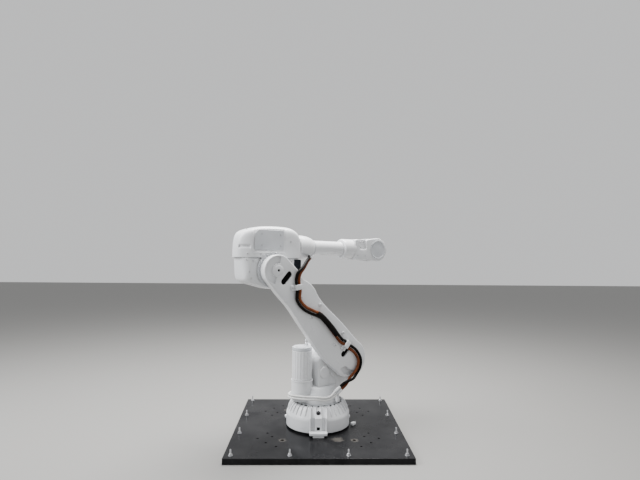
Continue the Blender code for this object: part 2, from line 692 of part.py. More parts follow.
def lower_arm_casting(arm):
    """Arm casting with a dished elbow boss and two cable slots in its outer face."""
    body = prism(lower_arm_outline(), -LOWER_ARM_OUTER, -ARM_INNER, "Y", ARM_EDGE)
    dish_rim = arc((0, 0), ARM_ELBOW_R - BOSS_RIM, DISH_START, DISH_END, FINE_STEPS)
    dish_hub = arc((0, 0), HUB_R + BOSS_RIM, DISH_END, DISH_START, FINE_STEPS // 2)
    dish = prism(dish_rim + dish_hub, -DISH_DEPTH, OVERRUN, "Z")
    hole = disc(HUB_HOLE_R, -HUB_HOLE_DEPTH, OVERRUN, steps=HOLE_STEPS)
    pocket = [(ARM_FRONT_BULGE * x, LOWER_ARM_LENGTH * z) for x, z in POCKET_SHARES]
    cuts = [
        on_face(dish, 0, LOWER_ARM_LENGTH),
        on_face(hole, 0, LOWER_ARM_LENGTH),
        on_face(prism(pocket, -POCKET_DEPTH, OVERRUN, "Z"), 0, 0),
    ]
    for shares, turn in ((UPPER_SLOT_SHARES, UPPER_SLOT_TURN), (LOWER_SLOT_SHARES, LOWER_SLOT_TURN)):
        slot = prism(stadium(SLOT_LENGTH, SLOT_WIDTH), -SLOT_DEPTH, OVERRUN, "Z")
        cuts.append(on_face(slot, shares[0] * ARM_FRONT_BULGE, shares[1] * LOWER_ARM_LENGTH, turn))
    node("lower_arm_casting", body, arm, WHITE_PAINT, cut=cuts)


def clamp(name, place, run, arm):
    """Two-hose clamp on the lower arm's outer face, its bores along the hoses' run."""
    turn = -math.atan2(run[0], run[2])
    half = CLAMP_WIDTH / 2
    outline = [
        (-half - CLAMP_EAR, SEAT_GAP),
        (half, SEAT_GAP),
        (half, CLAMP_HEIGHT),
        (-half, CLAMP_HEIGHT),
        (-half, CLAMP_EAR_HEIGHT),
        (-half - CLAMP_EAR, CLAMP_EAR_HEIGHT),
    ]
    body = prism(outline, -CLAMP_LENGTH / 2, CLAMP_LENGTH / 2, "Y", SMALL_EDGE)
    bores = []
    for side in (-0.5, 0.5):
        bore = disc(HOSE_R + CLAMP_PLAY, -CLAMP_LENGTH, CLAMP_LENGTH, steps=FINE_STEPS)
        bores.append(moved(bore, (side * HOSE_PITCH, 0, HOSE_STANDOFF), (0, 1, 0)))
    bore_mesh = on_face(merged(bores), place[0], place[1], turn)
    node(name, on_face(body, place[0], place[1], turn), arm, WHITE_PAINT, cut=[bore_mesh])


def cover_plan():
    """The housing's outline seen from above."""
    return [
        (x * (COVER_FRONT if x > 0 else COVER_BACK), y * (COVER_LEFT if y > 0 else COVER_RIGHT))
        for x, y in COVER_PLAN_SHARES
    ]


def upper_cover(upper):
    """Boxy housing over the elbow, with a pocket for the side panel."""
    rise = COVER_TOP - COVER_BOTTOM
    side = spread(COVER_SIDE_SHARES, COVER_BACK, COVER_FRONT, COVER_BOTTOM, rise)
    section = spread(COVER_SECTION_SHARES, COVER_RIGHT, COVER_LEFT, COVER_BOTTOM, rise)
    body = prism(side, -COVER_RIGHT, COVER_LEFT, "Y")
    plan_prism = prism(cover_plan(), COVER_BOTTOM - OVERRUN, COVER_TOP + OVERRUN, "Z")
    section_prism = prism(section, -COVER_BACK - OVERRUN, COVER_FRONT + OVERRUN, "X")
    pocket = prism(panel_outline(0), -COVER_RIGHT - OVERRUN, -COVER_RIGHT + PANEL_POCKET, "Y")
    node("upper_arm_cover", body, upper, WHITE_PAINT, trim=[plan_prism, section_prism], cut=[pocket])


def panel_outline(inset):
    """Side panel's outline, its upper rear corner cut off, drawn in by inset."""
    back = -PANEL_BACK + inset
    front = PANEL_FRONT - inset
    bottom = PANEL_BOTTOM + inset
    top = PANEL_TOP - inset
    return [(back, bottom), (front, bottom), (front, top), (back + PANEL_CORNER, top), (back, top - PANEL_CORNER)]


def side_panel(upper):
    """Service panel in the housing's right side."""
    outer = -COVER_RIGHT + PANEL_POCKET - SEAT_GAP
    panel = prism(panel_outline(SEAT_GAP), outer - PANEL_THICK, outer, "Y")
    node("side_panel", panel, upper, GREY_PAINT)


def plug_block(gap):
    """The plug housing's block, grown by gap on each side."""
    right = -TURRET_RIGHT - PLUG_BOX_PROUD
    low = (PLUG_BOX_BACK - gap, right - gap, COVER_BOTTOM - PLUG_BOX_DROP - gap)
    high = (PLUG_BOX_FRONT + gap, right + PLUG_BOX_DEPTH + gap, COVER_BOTTOM - OVERRUN + gap)
    return block(low, high)


def upper_casting(upper):
    """Lower lobe of the upper arm with the plug housing let into its front."""
    top = COVER_BOTTOM - SEAT_GAP
    outline = spread(CASTING_SIDE_SHARES, COVER_BACK, COVER_FRONT, -CASTING_DROP, CASTING_DROP + top)
    body = prism(outline, -TURRET_RIGHT, COVER_LEFT - CASTING_INSET, "Y", COLUMN_EDGE)
    plan_prism = prism(cover_plan(), -CASTING_DROP - OVERRUN, COVER_TOP, "Z")
    node("upper_arm_casting", body, upper, WHITE_PAINT, trim=[plan_prism], cut=[plug_block(SEAT_GAP)])
    node("plug_box", plug_block(0), upper, DARK_PLASTIC)


def elbow_gearbox(upper):
    """Gear unit on the elbow axis, its rim in the gap between lower arm and housing."""
    rim_start = COVER_RIGHT + SEAT_GAP
    rim_end = ARM_INNER - SEAT_GAP
    gear = turned([
        (0, TURRET_RIGHT + SEAT_GAP),
        (COVER_BOTTOM - SMALL_EDGE, TURRET_RIGHT + SEAT_GAP),
        (COVER_BOTTOM - SMALL_EDGE, rim_start),
        (ELBOW_RING_R, rim_start),
        (ELBOW_RING_R, rim_end - SMALL_EDGE),
        (ELBOW_RING_R - SMALL_EDGE, rim_end),
        (0, rim_end),
    ])
    node("elbow_gearbox", moved(gear, (0, 0, 0), (0, -1, 0)), upper, GREY_PAINT)


def neck(upper):
    """Cone on the housing's front, in which the forearm tube turns."""
    cone = turned([
        (0, COVER_FRONT + SEAT_GAP),
        (NECK_ROOT_R, COVER_FRONT + SEAT_GAP),
        (NECK_ROOT_R - SMALL_EDGE, (COVER_FRONT + NECK_END) / 2),
        (NECK_TIP_R, NECK_END - SMALL_EDGE),
        (NECK_TIP_R - SMALL_EDGE, NECK_END),
        (0, NECK_END),
    ])
    across = NECK_ENTRY_RUN.cross(Vector((0, 1, 0))).normalized()
    glands = []
    for side in (-0.5, 0.5):
        gland = disc(HOSE_R + GLAND_WALL, -GLAND_LENGTH / 2, GLAND_LENGTH / 2, SMALL_EDGE, FINE_STEPS)
        glands.append(moved(gland, Vector(NECK_ENTRY) + across * side * HOSE_PITCH, NECK_ENTRY_RUN))
    node("neck_cone", moved(cone, (0, 0, FOREARM_RISE), (1, 0, 0)), upper, WHITE_PAINT, join=glands)


def forearm(roll):
    """Rotating tube with its collar, and the forked wrist housing at its end."""
    collar_start = NECK_END + SEAT_GAP
    collar_end = collar_start + COLLAR_LENGTH
    collar = disc(NECK_TIP_R - SMALL_EDGE, collar_start, collar_end, SMALL_EDGE)
    node("forearm_collar", moved(collar, (0, 0, 0), (1, 0, 0)), roll, GREY_PAINT)
    barrel = disc(TUBE_R, collar_end + SEAT_GAP, TUBE_END, SMALL_EDGE)
    node("forearm_tube", moved(barrel, (0, 0, 0), (1, 0, 0)), roll, WHITE_PAINT)
    root = TUBE_END + SEAT_GAP
    full = TUBE_END + WRIST_TAPER
    fork_start = WRIST_REACH - FORK_ROOT
    end_angle = math.asin(WRIST_TOP / WRIST_END_R)
    outline = [(root, -TUBE_R), (full, -WRIST_BOTTOM), (fork_start, -WRIST_BOTTOM)]
    outline += arc((WRIST_REACH, 0), WRIST_END_R, -math.pi / 2, math.pi / 2, FINE_STEPS)
    outline += [(fork_start, WRIST_TOP), (full, WRIST_TOP), (root, TUBE_R)]
    body = prism(outline, -WRIST_HALF_WIDTH, WRIST_HALF_WIDTH, "Y", WRIST_EDGE)
    slot = block(
        (fork_start, -FORK_SLOT_HALF, -WRIST_END_R - OVERRUN),
        (WRIST_REACH + WRIST_END_R + OVERRUN, FORK_SLOT_HALF, WRIST_END_R + OVERRUN),
    )
    step_inner = WRIST_HALF_WIDTH - FORK_STEP_DEPTH
    step_start = WRIST_REACH - FORK_STEP_BACK
    step_end = WRIST_REACH - FORK_STEP_FRONT
    steps = [
        block((step_start, step_inner, 0), (step_end, WRIST_HALF_WIDTH + OVERRUN, WRIST_END_R)),
        block((step_start, -WRIST_HALF_WIDTH - OVERRUN, 0), (step_end, -step_inner, WRIST_END_R)),
    ]
    node("wrist_housing", body, roll, WHITE_PAINT, cut=[slot, *steps])
    for name, side in (("wrist_cover_right", -1), ("wrist_cover_left", 1)):
        near = WRIST_HALF_WIDTH + SEAT_GAP
        cover = disc(WRIST_COVER_R, near, near + WRIST_COVER_THICK, SMALL_EDGE)
        node(name, moved(cover, (WRIST_REACH, 0, 0), (0, side, 0)), roll, GREY_PAINT)


def knuckle(bend):
    """Wrist knuckle that tilts in the fork, with the nose that carries the tool flange."""
    outline = arc((0, 0), KNUCKLE_R, math.pi / 2, 3 * math.pi / 2, FINE_STEPS)
    outline += [(KNUCKLE_R / 2, -KNUCKLE_R), (KNUCKLE_R, -KNUCKLE_NOSE_R), (KNUCKLE_R, KNUCKLE_NOSE_R)]
    outline += [(KNUCKLE_R / 2, KNUCKLE_R)]
    body = prism(outline, -KNUCKLE_HALF_WIDTH, KNUCKLE_HALF_WIDTH, "Y", SMALL_EDGE)
    nose = moved(disc(KNUCKLE_NOSE_R, 0, KNUCKLE_NOSE, SMALL_EDGE), (0, 0, 0), (1, 0, 0))
    trunnion_end = FORK_SLOT_HALF - SEAT_GAP
    trunnion = moved(disc(TRUNNION_R, -trunnion_end, trunnion_end), (0, 0, 0), (0, 1, 0))
    node("wrist_knuckle", body, bend, WHITE_PAINT, join=[nose, trunnion])


def tool_flange(turn):
    """Round flange that takes the tool, with its centring recess."""
    back = KNUCKLE_NOSE + SEAT_GAP
    face = back + FLANGE_THICK
    flange = turned([
        (0, back),
        (FLANGE_R - SMALL_EDGE, back),
        (FLANGE_R, back + SMALL_EDGE),
        (FLANGE_R, face - SMALL_EDGE),
        (FLANGE_R - SMALL_EDGE, face),
        (FLANGE_RECESS_R, face),
        (FLANGE_RECESS_R, face - FLANGE_RECESS_DEPTH),
        (0, face - FLANGE_RECESS_DEPTH),
    ])
    node("tool_flange", moved(flange, (0, 0, 0), (1, 0, 0)), turn, BARE_STEEL)


def clamp_end(place, run, side):
    """Two route points at a clamp: just past its mouth and, near its middle, the hose's end."""
    middle = Vector((place[0], -HOSE_LINE, place[1]))
    return middle + run * (side * CLAMP_LENGTH * MOUTH_SHARE), middle + run * (side * SEAT_GAP / 2)


def hose_pair(name, knots, up, frame):
    """The black and the copper hose along one route."""
    route = smooth_route(knots, HOSE_STEP)
    tube(f"{name}_black", beside(route, HOSE_PITCH / 2, up), HOSE_R, frame, BLACK_RUBBER)
    tube(f"{name}_copper", beside(route, -HOSE_PITCH / 2, up), HOSE_R, frame, COPPER_SLEEVE)


def hoses(turret, arm):
    """Hoses from the turret's connectors, clamped along the lower arm, to the neck."""
    arm_in_turret = Matrix.Translation((SHOULDER_OFFSET, 0, SHOULDER_HEIGHT)) @ Matrix.Rotation(LEAN, 4, "Y")
    upper_in_arm = Matrix.Translation((0, 0, LOWER_ARM_LENGTH)) @ Matrix.Rotation(FOREARM_TILT - LEAN, 4, "Y")
    start = connector_end(0, CONNECTOR_LENGTH / 2 + SEAT_GAP)
    mouth, end = clamp_end(LOW_CLAMP, LOW_CLAMP_RUN, -1)
    shoulder_knots = [
        start,
        start + CONNECTOR_RUN * CONNECTOR_LENGTH / 2,
        (0.13, -0.19, 0.334),
        (0.186, -0.19, 0.372),
        (0.234, -0.192, 0.424),
        (0.243, -0.193, 0.484),
        (0.206, -0.19, 0.548),
        arm_in_turret @ mouth,
        arm_in_turret @ end,
    ]
    hose_pair("shoulder_hose", shoulder_knots, (0, 1, 0), turret)
    first_mouth, first = clamp_end(LOW_CLAMP, LOW_CLAMP_RUN, 1)
    last_mouth, last = clamp_end(HIGH_CLAMP, HIGH_CLAMP_RUN, -1)
    arm_knots = [
        first,
        first_mouth,
        (0.024, -0.188, 0.182),
        (0.026, -0.188, 0.329),
        (0.02, -0.188, 0.438),
        (-0.006, -0.188, 0.5),
        (-0.034, -0.188, 0.576),
        (-0.03, -0.188, 0.651),
        last_mouth,
        last,
    ]
    hose_pair("arm_hose", arm_knots, (0, 1, 0), arm)
    mouth, end = clamp_end(HIGH_CLAMP, HIGH_CLAMP_RUN, 1)
    entry = Vector(NECK_ENTRY) - NECK_ENTRY_RUN * (GLAND_LENGTH / 2 + SEAT_GAP)
    elbow_knots = [
        end,
        mouth,
        (0.066, -0.19, 0.768),
        (0.103, -0.189, 0.784),
        upper_in_arm @ Vector((0.198, -0.166, 0.019)),
        upper_in_arm @ Vector((0.253, -0.122, 0.06)),
        upper_in_arm @ (entry - NECK_ENTRY_RUN * HOSE_STEP),
        upper_in_arm @ entry,
    ]
    hose_pair("elbow_hose", elbow_knots, (0, 1, 0), arm)


def waist_cables(turret):
    """Two white cables from the motor's lobe round the turret's right side to the connectors."""
    start_x = -MOTOR1_OFFSET - SEAT_GAP
    start_y = ENTRY_REACH - CABLE_R - SMALL_EDGE
    for name, rise in (("waist_cable_low", -0.5), ("waist_cable_high", 0.5)):
        mid = (LOBE_BOTTOM + LOBE_TOP) / 2 + rise * CABLE_PITCH
        knots = [
            (start_x, start_y, mid),
            (start_x - 2 * CABLE_R, start_y, mid),
            (-0.195, 0.093, mid + 0.002),
            (-0.23, 0.05, mid + 0.008),
            (-0.24, 0.0, mid + 0.014),
            (-0.225, -0.055, mid + 0.018),
            (-0.18, -0.115, mid + 0.02),
            (-0.11, -0.158, mid + 0.022),
            (-0.04, -0.18, mid + 0.028),
            connector_end(rise, -CONNECTOR_LENGTH / 2 - SEAT_GAP - 2 * CABLE_R),
            connector_end(rise, -CONNECTOR_LENGTH / 2 - SEAT_GAP),
        ]
        tube(name, smooth_route(knots, 3 * CABLE_R), CABLE_R, turret, WHITE_CABLE)


def build():
    """Make every piece of the robot, body by body."""
    clear_scene()
    deck = empty("plate_top", None, (0, 0, PLATE_THICK))
    base_plate()
    base_casting(deck)
    bearing_ring(deck)
    connector_box(deck)
    turret = empty("axis_1", deck, (0, 0, 0), turn_z=HEADING)
    turret_casting(turret)
    axis1_motor(turret)
    lifting_eye(turret)
    shoulder_drive(turret)
    hose_bracket(turret)
    waist_cables(turret)
    arm = empty("axis_2", turret, (SHOULDER_OFFSET, 0, SHOULDER_HEIGHT), turn_y=LEAN)
    lower_arm_casting(arm)
    clamp("hose_clamp_low", LOW_CLAMP, LOW_CLAMP_RUN, arm)
    clamp("hose_clamp_high", HIGH_CLAMP, HIGH_CLAMP_RUN, arm)
    hoses(turret, arm)
    upper = empty("axis_3", arm, (0, 0, LOWER_ARM_LENGTH), turn_y=FOREARM_TILT - LEAN)
    upper_cover(upper)
    side_panel(upper)
    upper_casting(upper)
    elbow_gearbox(upper)
    neck(upper)
    roll = empty("axis_4", upper, (0, 0, FOREARM_RISE))
    forearm(roll)
    bend = empty("axis_5", roll, (WRIST_REACH, 0, 0))
    knuckle(bend)
    tool_flange(empty("axis_6", bend, (0, 0, 0)))


build()
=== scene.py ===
import json
import math

import bpy
import numpy as np
from mathutils import Matrix, Vector
from mathutils.geometry import delaunay_2d_cdt


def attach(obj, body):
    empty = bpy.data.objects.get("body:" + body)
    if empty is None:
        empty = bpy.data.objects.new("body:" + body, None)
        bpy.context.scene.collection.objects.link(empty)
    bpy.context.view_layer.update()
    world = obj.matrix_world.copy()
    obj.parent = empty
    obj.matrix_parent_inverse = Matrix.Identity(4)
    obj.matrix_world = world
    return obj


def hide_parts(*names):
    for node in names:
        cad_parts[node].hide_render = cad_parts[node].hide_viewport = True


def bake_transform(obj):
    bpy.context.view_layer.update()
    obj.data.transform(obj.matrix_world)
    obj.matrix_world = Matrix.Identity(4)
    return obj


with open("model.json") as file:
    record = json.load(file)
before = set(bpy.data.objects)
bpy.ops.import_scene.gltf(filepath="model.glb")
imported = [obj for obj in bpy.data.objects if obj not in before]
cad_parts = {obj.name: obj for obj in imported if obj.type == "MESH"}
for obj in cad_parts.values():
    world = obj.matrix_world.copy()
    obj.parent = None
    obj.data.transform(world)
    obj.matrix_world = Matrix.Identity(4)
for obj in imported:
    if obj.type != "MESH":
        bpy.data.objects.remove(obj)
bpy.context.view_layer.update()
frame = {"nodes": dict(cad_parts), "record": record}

# Pose and sizes shared with the CAD model, in radians and metres
HEADING = math.radians(32.5)
LEAN = math.radians(-43.0)
FOREARM_TILT = math.radians(0.6)
PLATE_SIDE = 1.2
PLATE_THICK = 0.038
SHOULDER_OFFSET = 0.175
SHOULDER_HEIGHT = 0.495
LOWER_ARM_LENGTH = 0.9
LOWER_ARM_OUTER = 0.171
FOREARM_RISE = 0.168
WRIST_REACH = 0.96
HOSE_R = 0.0105
HOSE_PITCH = 0.024
HOSE_LINE = 0.188

# Clear gap between seated pieces, top of the bearing ring, and the three ways that pieces face
GAP = 0.0003
RING_TOP = 0.19
RIGHT = (0, -1, 0)
LEFT = (0, 1, 0)
AHEAD = (1, 0, 0)

# The camera as fitted to the photograph: place, angles in radians, and lens as a share of the sensor's width
CAMERA_PLACE = (-0.0689, -3.4637, 1.2678)
CAMERA_YAW, CAMERA_PITCH, CAMERA_ROLL = 0.0218, 0.0426, 0.0078
SENSOR_WIDTH = 36.0
LENS_SHARE = 455 / 640

# Width of the lamps and half the width of the floor
LAMP_SIZE = 2.2
FLOOR_HALF = 20.0

# Worn patches of the plate's paint, round its lifting holes and before the foot: x, y and reach
WORN_PATCHES = ((0.245, -0.3125, 0.05), (-0.245, -0.3125, 0.05), (0.13, -0.3, 0.085), (0.245, 0.3125, 0.04),
                (-0.245, 0.3125, 0.04))

# Places of the six axes, each as the matrix from its own frame to the row frame
DECK = Matrix.Translation((0, 0, PLATE_THICK))
AXIS_1 = DECK @ Matrix.Rotation(HEADING, 4, "Z")
AXIS_2 = AXIS_1 @ Matrix.Translation((SHOULDER_OFFSET, 0, SHOULDER_HEIGHT)) @ Matrix.Rotation(LEAN, 4, "Y")
AXIS_3 = AXIS_2 @ Matrix.Translation((0, 0, LOWER_ARM_LENGTH)) @ Matrix.Rotation(FOREARM_TILT - LEAN, 4, "Y")
AXIS_4 = AXIS_3 @ Matrix.Translation((0, 0, FOREARM_RISE))
AXIS_5 = AXIS_4 @ Matrix.Translation((WRIST_REACH, 0, 0))


# Camera, light and floor

def photo_camera():
    """A camera at the photograph's viewpoint, in front of the plate and a little below the robot's top."""
    yaw, pitch, roll = CAMERA_YAW, CAMERA_PITCH, CAMERA_ROLL
    forward = Vector((math.sin(yaw) * math.cos(pitch), math.cos(yaw) * math.cos(pitch), math.sin(pitch)))
    right = Vector((math.cos(yaw), -math.sin(yaw), 0))
    up = right.cross(forward)
    right, up = right * math.cos(roll) + up * math.sin(roll), up * math.cos(roll) - right * math.sin(roll)
    data = bpy.data.cameras.new("photo_camera")
    data.sensor_width = SENSOR_WIDTH
    data.lens = LENS_SHARE * SENSOR_WIDTH
    data.clip_end = 100
    camera = bpy.data.objects.new("photo_camera", data)
    turn = Matrix((right, up, -forward)).transposed().to_4x4()
    camera.matrix_world = Matrix.Translation(CAMERA_PLACE) @ turn
    bpy.context.collection.objects.link(camera)
    bpy.context.scene.camera = camera


def area_light(name, place, target, size, power, colour):
    """A large soft lamp that looks at a target."""
    data = bpy.data.lights.new(name, "AREA")
    data.shape = "SQUARE"
    data.size = size
    data.energy = power
    data.color = colour
    lamp = bpy.data.objects.new(name, data)
    lamp.location = place
    lamp.rotation_euler = (Vector(target) - Vector(place)).to_track_quat("-Z", "Y").to_euler()
    bpy.context.collection.objects.link(lamp)


def studio():
    """Pale floor, even grey surroundings and two soft lamps."""
    world = bpy.data.worlds.new("studio")
    world.use_nodes = True
    background = world.node_tree.nodes["Background"]
    background.inputs["Color"].default_value = (0.86, 0.865, 0.87, 1)
    background.inputs["Strength"].default_value = 0.85
    bpy.context.scene.world = world
    area_light("top_light", (0.2, 0.7, 4.6), (0, 0, 0.9), LAMP_SIZE, 660, (1.0, 0.99, 0.97))
    area_light("left_light", (-4.0, -0.9, 3.6), (0, 0, 0.7), LAMP_SIZE, 300, (0.98, 0.99, 1.0))
    data = bpy.data.meshes.new("studio_floor")
    corners = [(x, y, 0) for x, y in rectangle(-FLOOR_HALF, -FLOOR_HALF, FLOOR_HALF, FLOOR_HALF)]
    data.from_pydata(corners, [], [(0, 1, 2, 3)])
    floor = bpy.data.objects.new("studio_floor", data)
    bpy.context.collection.objects.link(floor)
    made = bpy.data.materials.new("pale_floor")
    made.use_nodes = True
    shader = made.node_tree.nodes["Principled BSDF"]
    shader.inputs["Base Color"].default_value = (0.22, 0.217, 0.21, 1)
    shader.inputs["Roughness"].default_value = 0.7
    data.materials.append(made)


# Finishes

EDGE_SOFTNESS = 0.002


class Graph:
    """A small helper that adds and joins the nodes of one material."""

    def __init__(self, name):
        """Start a material, with its shader and its object coordinates at hand."""
        self.material = bpy.data.materials.new(name)
        self.material.use_nodes = True
        self.tree = self.material.node_tree
        self.shader = self.tree.nodes["Principled BSDF"]
        self.place = self.add("ShaderNodeTexCoord").outputs["Object"]

    def add(self, kind, **settings):
        """Add a node with the given settings."""
        made = self.tree.nodes.new(kind)
        for key, value in settings.items():
            setattr(made, key, value)
        return made

    def join(self, source, target):
        """Join an output to an input."""
        self.tree.links.new(source, target)

    def noise(self, scale, detail=3.0, rough=0.55, stretch=None):
        """Fractal noise on the object's own coordinates, optionally stretched along its axes."""
        made = self.add("ShaderNodeTexNoise")
        made.inputs["Scale"].default_value = scale
        made.inputs["Detail"].default_value = detail
        made.inputs["Roughness"].default_value = rough
        place = self.place
        if stretch:
            mapping = self.add("ShaderNodeMapping")
            mapping.inputs["Scale"].default_value = stretch
            self.join(place, mapping.inputs["Vector"])
            place = mapping.outputs["Vector"]
        self.join(place, made.inputs["Vector"])
        return made.outputs["Fac"]

    def ramp(self, source, low, high, start, end):
        """Blend between two colours as the source goes from start to end."""
        made = self.add("ShaderNodeValToRGB")
        made.color_ramp.elements[0].position = start
        made.color_ramp.elements[1].position = end
        made.color_ramp.elements[0].color = (*low, 1)
        made.color_ramp.elements[1].color = (*high, 1)
        self.join(source, made.inputs["Fac"])
        return made.outputs["Color"]

    def span(self, source, low, high, start=0.0, end=1.0):
        """Map a value from the span start to end onto low to high."""
        made = self.add("ShaderNodeMapRange")
        made.inputs["From Min"].default_value = start
        made.inputs["From Max"].default_value = end
        made.inputs["To Min"].default_value = low
        made.inputs["To Max"].default_value = high
        self.join(source, made.inputs["Value"])
        return made.outputs["Result"]

    def mix(self, factor, under, colour):
        """Lay a plain colour over what is under it, by a factor."""
        made = self.add("ShaderNodeMix", data_type="RGBA")
        self.join(factor, made.inputs["Factor"])
        first, second = (socket for socket in made.inputs if socket.type == "RGBA")
        self.join(under, first)
        second.default_value = (*colour, 1)
        return next(socket for socket in made.outputs if socket.type == "RGBA")

    def soft_edge(self):
        """The surface's normal, rounded over its edges."""
        made = self.add("ShaderNodeBevel", samples=4)
        made.inputs["Radius"].default_value = EDGE_SOFTNESS
        return made.outputs["Normal"]

    def bump(self, source, strength, distance, under=None):
        """Raise the surface by a source; under is the normal it starts from."""
        made = self.add("ShaderNodeBump")
        made.inputs["Strength"].default_value = strength
        made.inputs["Distance"].default_value = distance
        self.join(source, made.inputs["Height"])
        if under:
            self.join(under, made.inputs["Normal"])
        return made.outputs["Normal"]

    def finish(self, colour, roughness, normal=None, metallic=0.0, gloss=0.5):
        """Join the colour, roughness and normal to the shader."""
        self.join(colour, self.shader.inputs["Base Color"])
        self.join(roughness, self.shader.inputs["Roughness"])
        if normal:
            self.join(normal, self.shader.inputs["Normal"])
        self.shader.inputs["Metallic"].default_value = metallic
        self.shader.inputs["Specular IOR Level"].default_value = gloss
        return self.material


def enamel(name, light, shade, roughness):
    """Satin enamel on a casting: cloudy tone, fine orange peel, painted shade in the hollows and thin edges.
    """
    graph = Graph(name)
    cloud = graph.noise(4.0, 4.0, 0.6)
    tone = graph.ramp(cloud, shade, light, 0.35, 0.65)
    # Painted shade: a grey laid over the tone in the hollows, as strong as the ambient occlusion there.
    hollow = graph.add("ShaderNodeAmbientOcclusion", samples=6)
    hollow.inputs["Distance"].default_value = 0.03
    dust_and_painted_shade = graph.span(hollow.outputs["AO"], 0.35, 0.0, 0.35, 0.9)
    tone = graph.mix(dust_and_painted_shade, tone, (0.36, 0.355, 0.34))
    speck = graph.span(graph.noise(170.0, 2.0, 0.5), 0.0, 0.35, 0.72, 0.8)
    tone = graph.mix(speck, tone, (0.45, 0.44, 0.42))
    shine = graph.span(graph.noise(9.0, 5.0, 0.65), roughness - 0.07, roughness + 0.09, 0.3, 0.7)
    peel = graph.bump(graph.noise(260.0, 2.0, 0.5), 0.10, 0.0006, graph.soft_edge())
    return graph.finish(tone, shine, peel)


def black_plate_paint():
    """Black gloss paint on rolled plate: dust, long scuffs, and worn patches round the lifting holes."""
    graph = Graph("black_plate_paint")
    dust_and_painted_shade = graph.noise(5.0, 6.0, 0.7)
    tone = graph.ramp(dust_and_painted_shade, (0.004, 0.004, 0.005), (0.017, 0.017, 0.018), 0.35, 0.75)
    scuff = graph.span(graph.noise(26.0, 3.0, 0.6, (1.0, 9.0, 1.0)), 0.0, 0.35, 0.68, 0.76)
    tone = graph.mix(scuff, tone, (0.07, 0.07, 0.07))
    shine = graph.span(graph.noise(3.0, 5.0, 0.7), 0.14, 0.34, 0.3, 0.7)
    torn = graph.noise(42.0, 5.0, 0.7, (1.0, 2.4, 1.0))
    for x, y, reach in WORN_PATCHES:
        away = graph.add("ShaderNodeVectorMath", operation="DISTANCE")
        away.inputs[1].default_value = (x, y, PLATE_THICK)
        graph.join(graph.place, away.inputs[0])
        near = graph.span(away.outputs["Value"], 0.62, 0.0, 0.012, reach)
        sum_of = graph.add("ShaderNodeMath", operation="ADD")
        graph.join(near, sum_of.inputs[0])
        graph.join(torn, sum_of.inputs[1])
        worn = graph.span(sum_of.outputs["Value"], 0.0, 0.75, 0.82, 1.0)
        tone = graph.mix(worn, tone, (0.085, 0.078, 0.07))
    grain = graph.bump(graph.noise(90.0, 3.0, 0.6), 0.10, 0.0006, graph.soft_edge())
    return graph.finish(tone, shine, grain, gloss=0.1)


def machined_steel(name, light, shade, roughness):
    """Turned or zinc-plated steel with fine marks and slightly varied tone."""
    graph = Graph(name)
    tone = graph.ramp(graph.noise(40.0, 4.0, 0.6), shade, light, 0.3, 0.7)
    shine = graph.span(graph.noise(120.0, 3.0, 0.6), roughness - 0.08, roughness + 0.12, 0.3, 0.7)
    marks = graph.bump(graph.noise(600.0, 2.0, 0.5), 0.15, 0.0003)
    return graph.finish(tone, shine, marks, metallic=1.0)


def moulded(name, light, shade, roughness):
    """Moulded plastic or rubber: fine grain, worn lighter patches."""
    graph = Graph(name)
    tone = graph.ramp(graph.noise(14.0, 4.0, 0.65), shade, light, 0.35, 0.7)
    shine = graph.span(graph.noise(30.0, 4.0, 0.6), roughness - 0.1, roughness + 0.1, 0.3, 0.7)
    grain = graph.bump(graph.noise(300.0, 2.0, 0.5), 0.2, 0.0005)
    return graph.finish(tone, shine, grain, gloss=0.08)


# Surfaces

def surface(name, shape, finish, body, sharp=38):
    """One piece from (points, faces), smooth-shaded up to the sharp angle, riding on a CAD body."""
    points, faces = shape
    data = bpy.data.meshes.new(name)
    data.from_pydata(np.asarray(points, float).tolist(), [], faces)
    data.validate()
    data.update()
    data.shade_smooth()
    data.set_sharp_from_angle(angle=math.radians(sharp))
    data.materials.append(finish)
    item = bpy.data.objects.new(name, data)
    bpy.context.collection.objects.link(item)
    if body:
        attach(item, body)
    return item


def placed(shape, matrix):
    """Carry a shape from its own frame by a matrix, with its faces turned over where the matrix mirrors."""
    (points, faces), turn = shape, np.array(matrix)
    if np.linalg.det(turn[:3, :3]) < 0:
        faces = [face[::-1] for face in faces]
    return np.asarray(points) @ turn[:3, :3].T + turn[:3, 3], faces


def together(shapes):
    """Several shapes as one."""
    points, faces, base = [], [], 0
    for shape_points, shape_faces in shapes:
        points.append(np.asarray(shape_points))
        faces += [tuple(base + i for i in face) for face in shape_faces]
        base += len(shape_points)
    return np.vstack(points), faces


def repeated(shape, matrices):
    """Copies of one shape at each of the given matrices."""
    return together([placed(shape, matrix) for matrix in matrices])


def moved(x, y, z):
    """Matrix that moves a shape to a place."""
    return Matrix.Translation((x, y, z))


def turned(degrees):
    """Matrix that turns a shape about Z."""
    return Matrix.Rotation(math.radians(degrees), 4, "Z")


def around(count, first=0.0):
    """Matrices of count equal turns about Z, the first turned by first."""
    return [Matrix.Rotation(first + 2 * math.pi * i / count, 4, "Z") for i in range(count)]


def ringed(shape, count, radius, height, first=0.0, flip=False):
    """Copies of a shape on a circle about Z, upside down where flip is set."""
    foot = moved(radius, 0, height)
    if flip:
        foot = foot @ Matrix.Rotation(math.pi, 4, "X")
    return repeated(shape, [turn @ foot for turn in around(count, first)])


def facing(place, direction):
    """Matrix that puts Z along a direction at a place."""
    turn = Vector((0, 0, 1)).rotation_difference(Vector(direction)).to_matrix().to_4x4()
    return Matrix.Translation(Vector(place)) @ turn


def unit(vector):
    """A vector's direction, at length one."""
    return np.array(vector) / math.hypot(*vector)


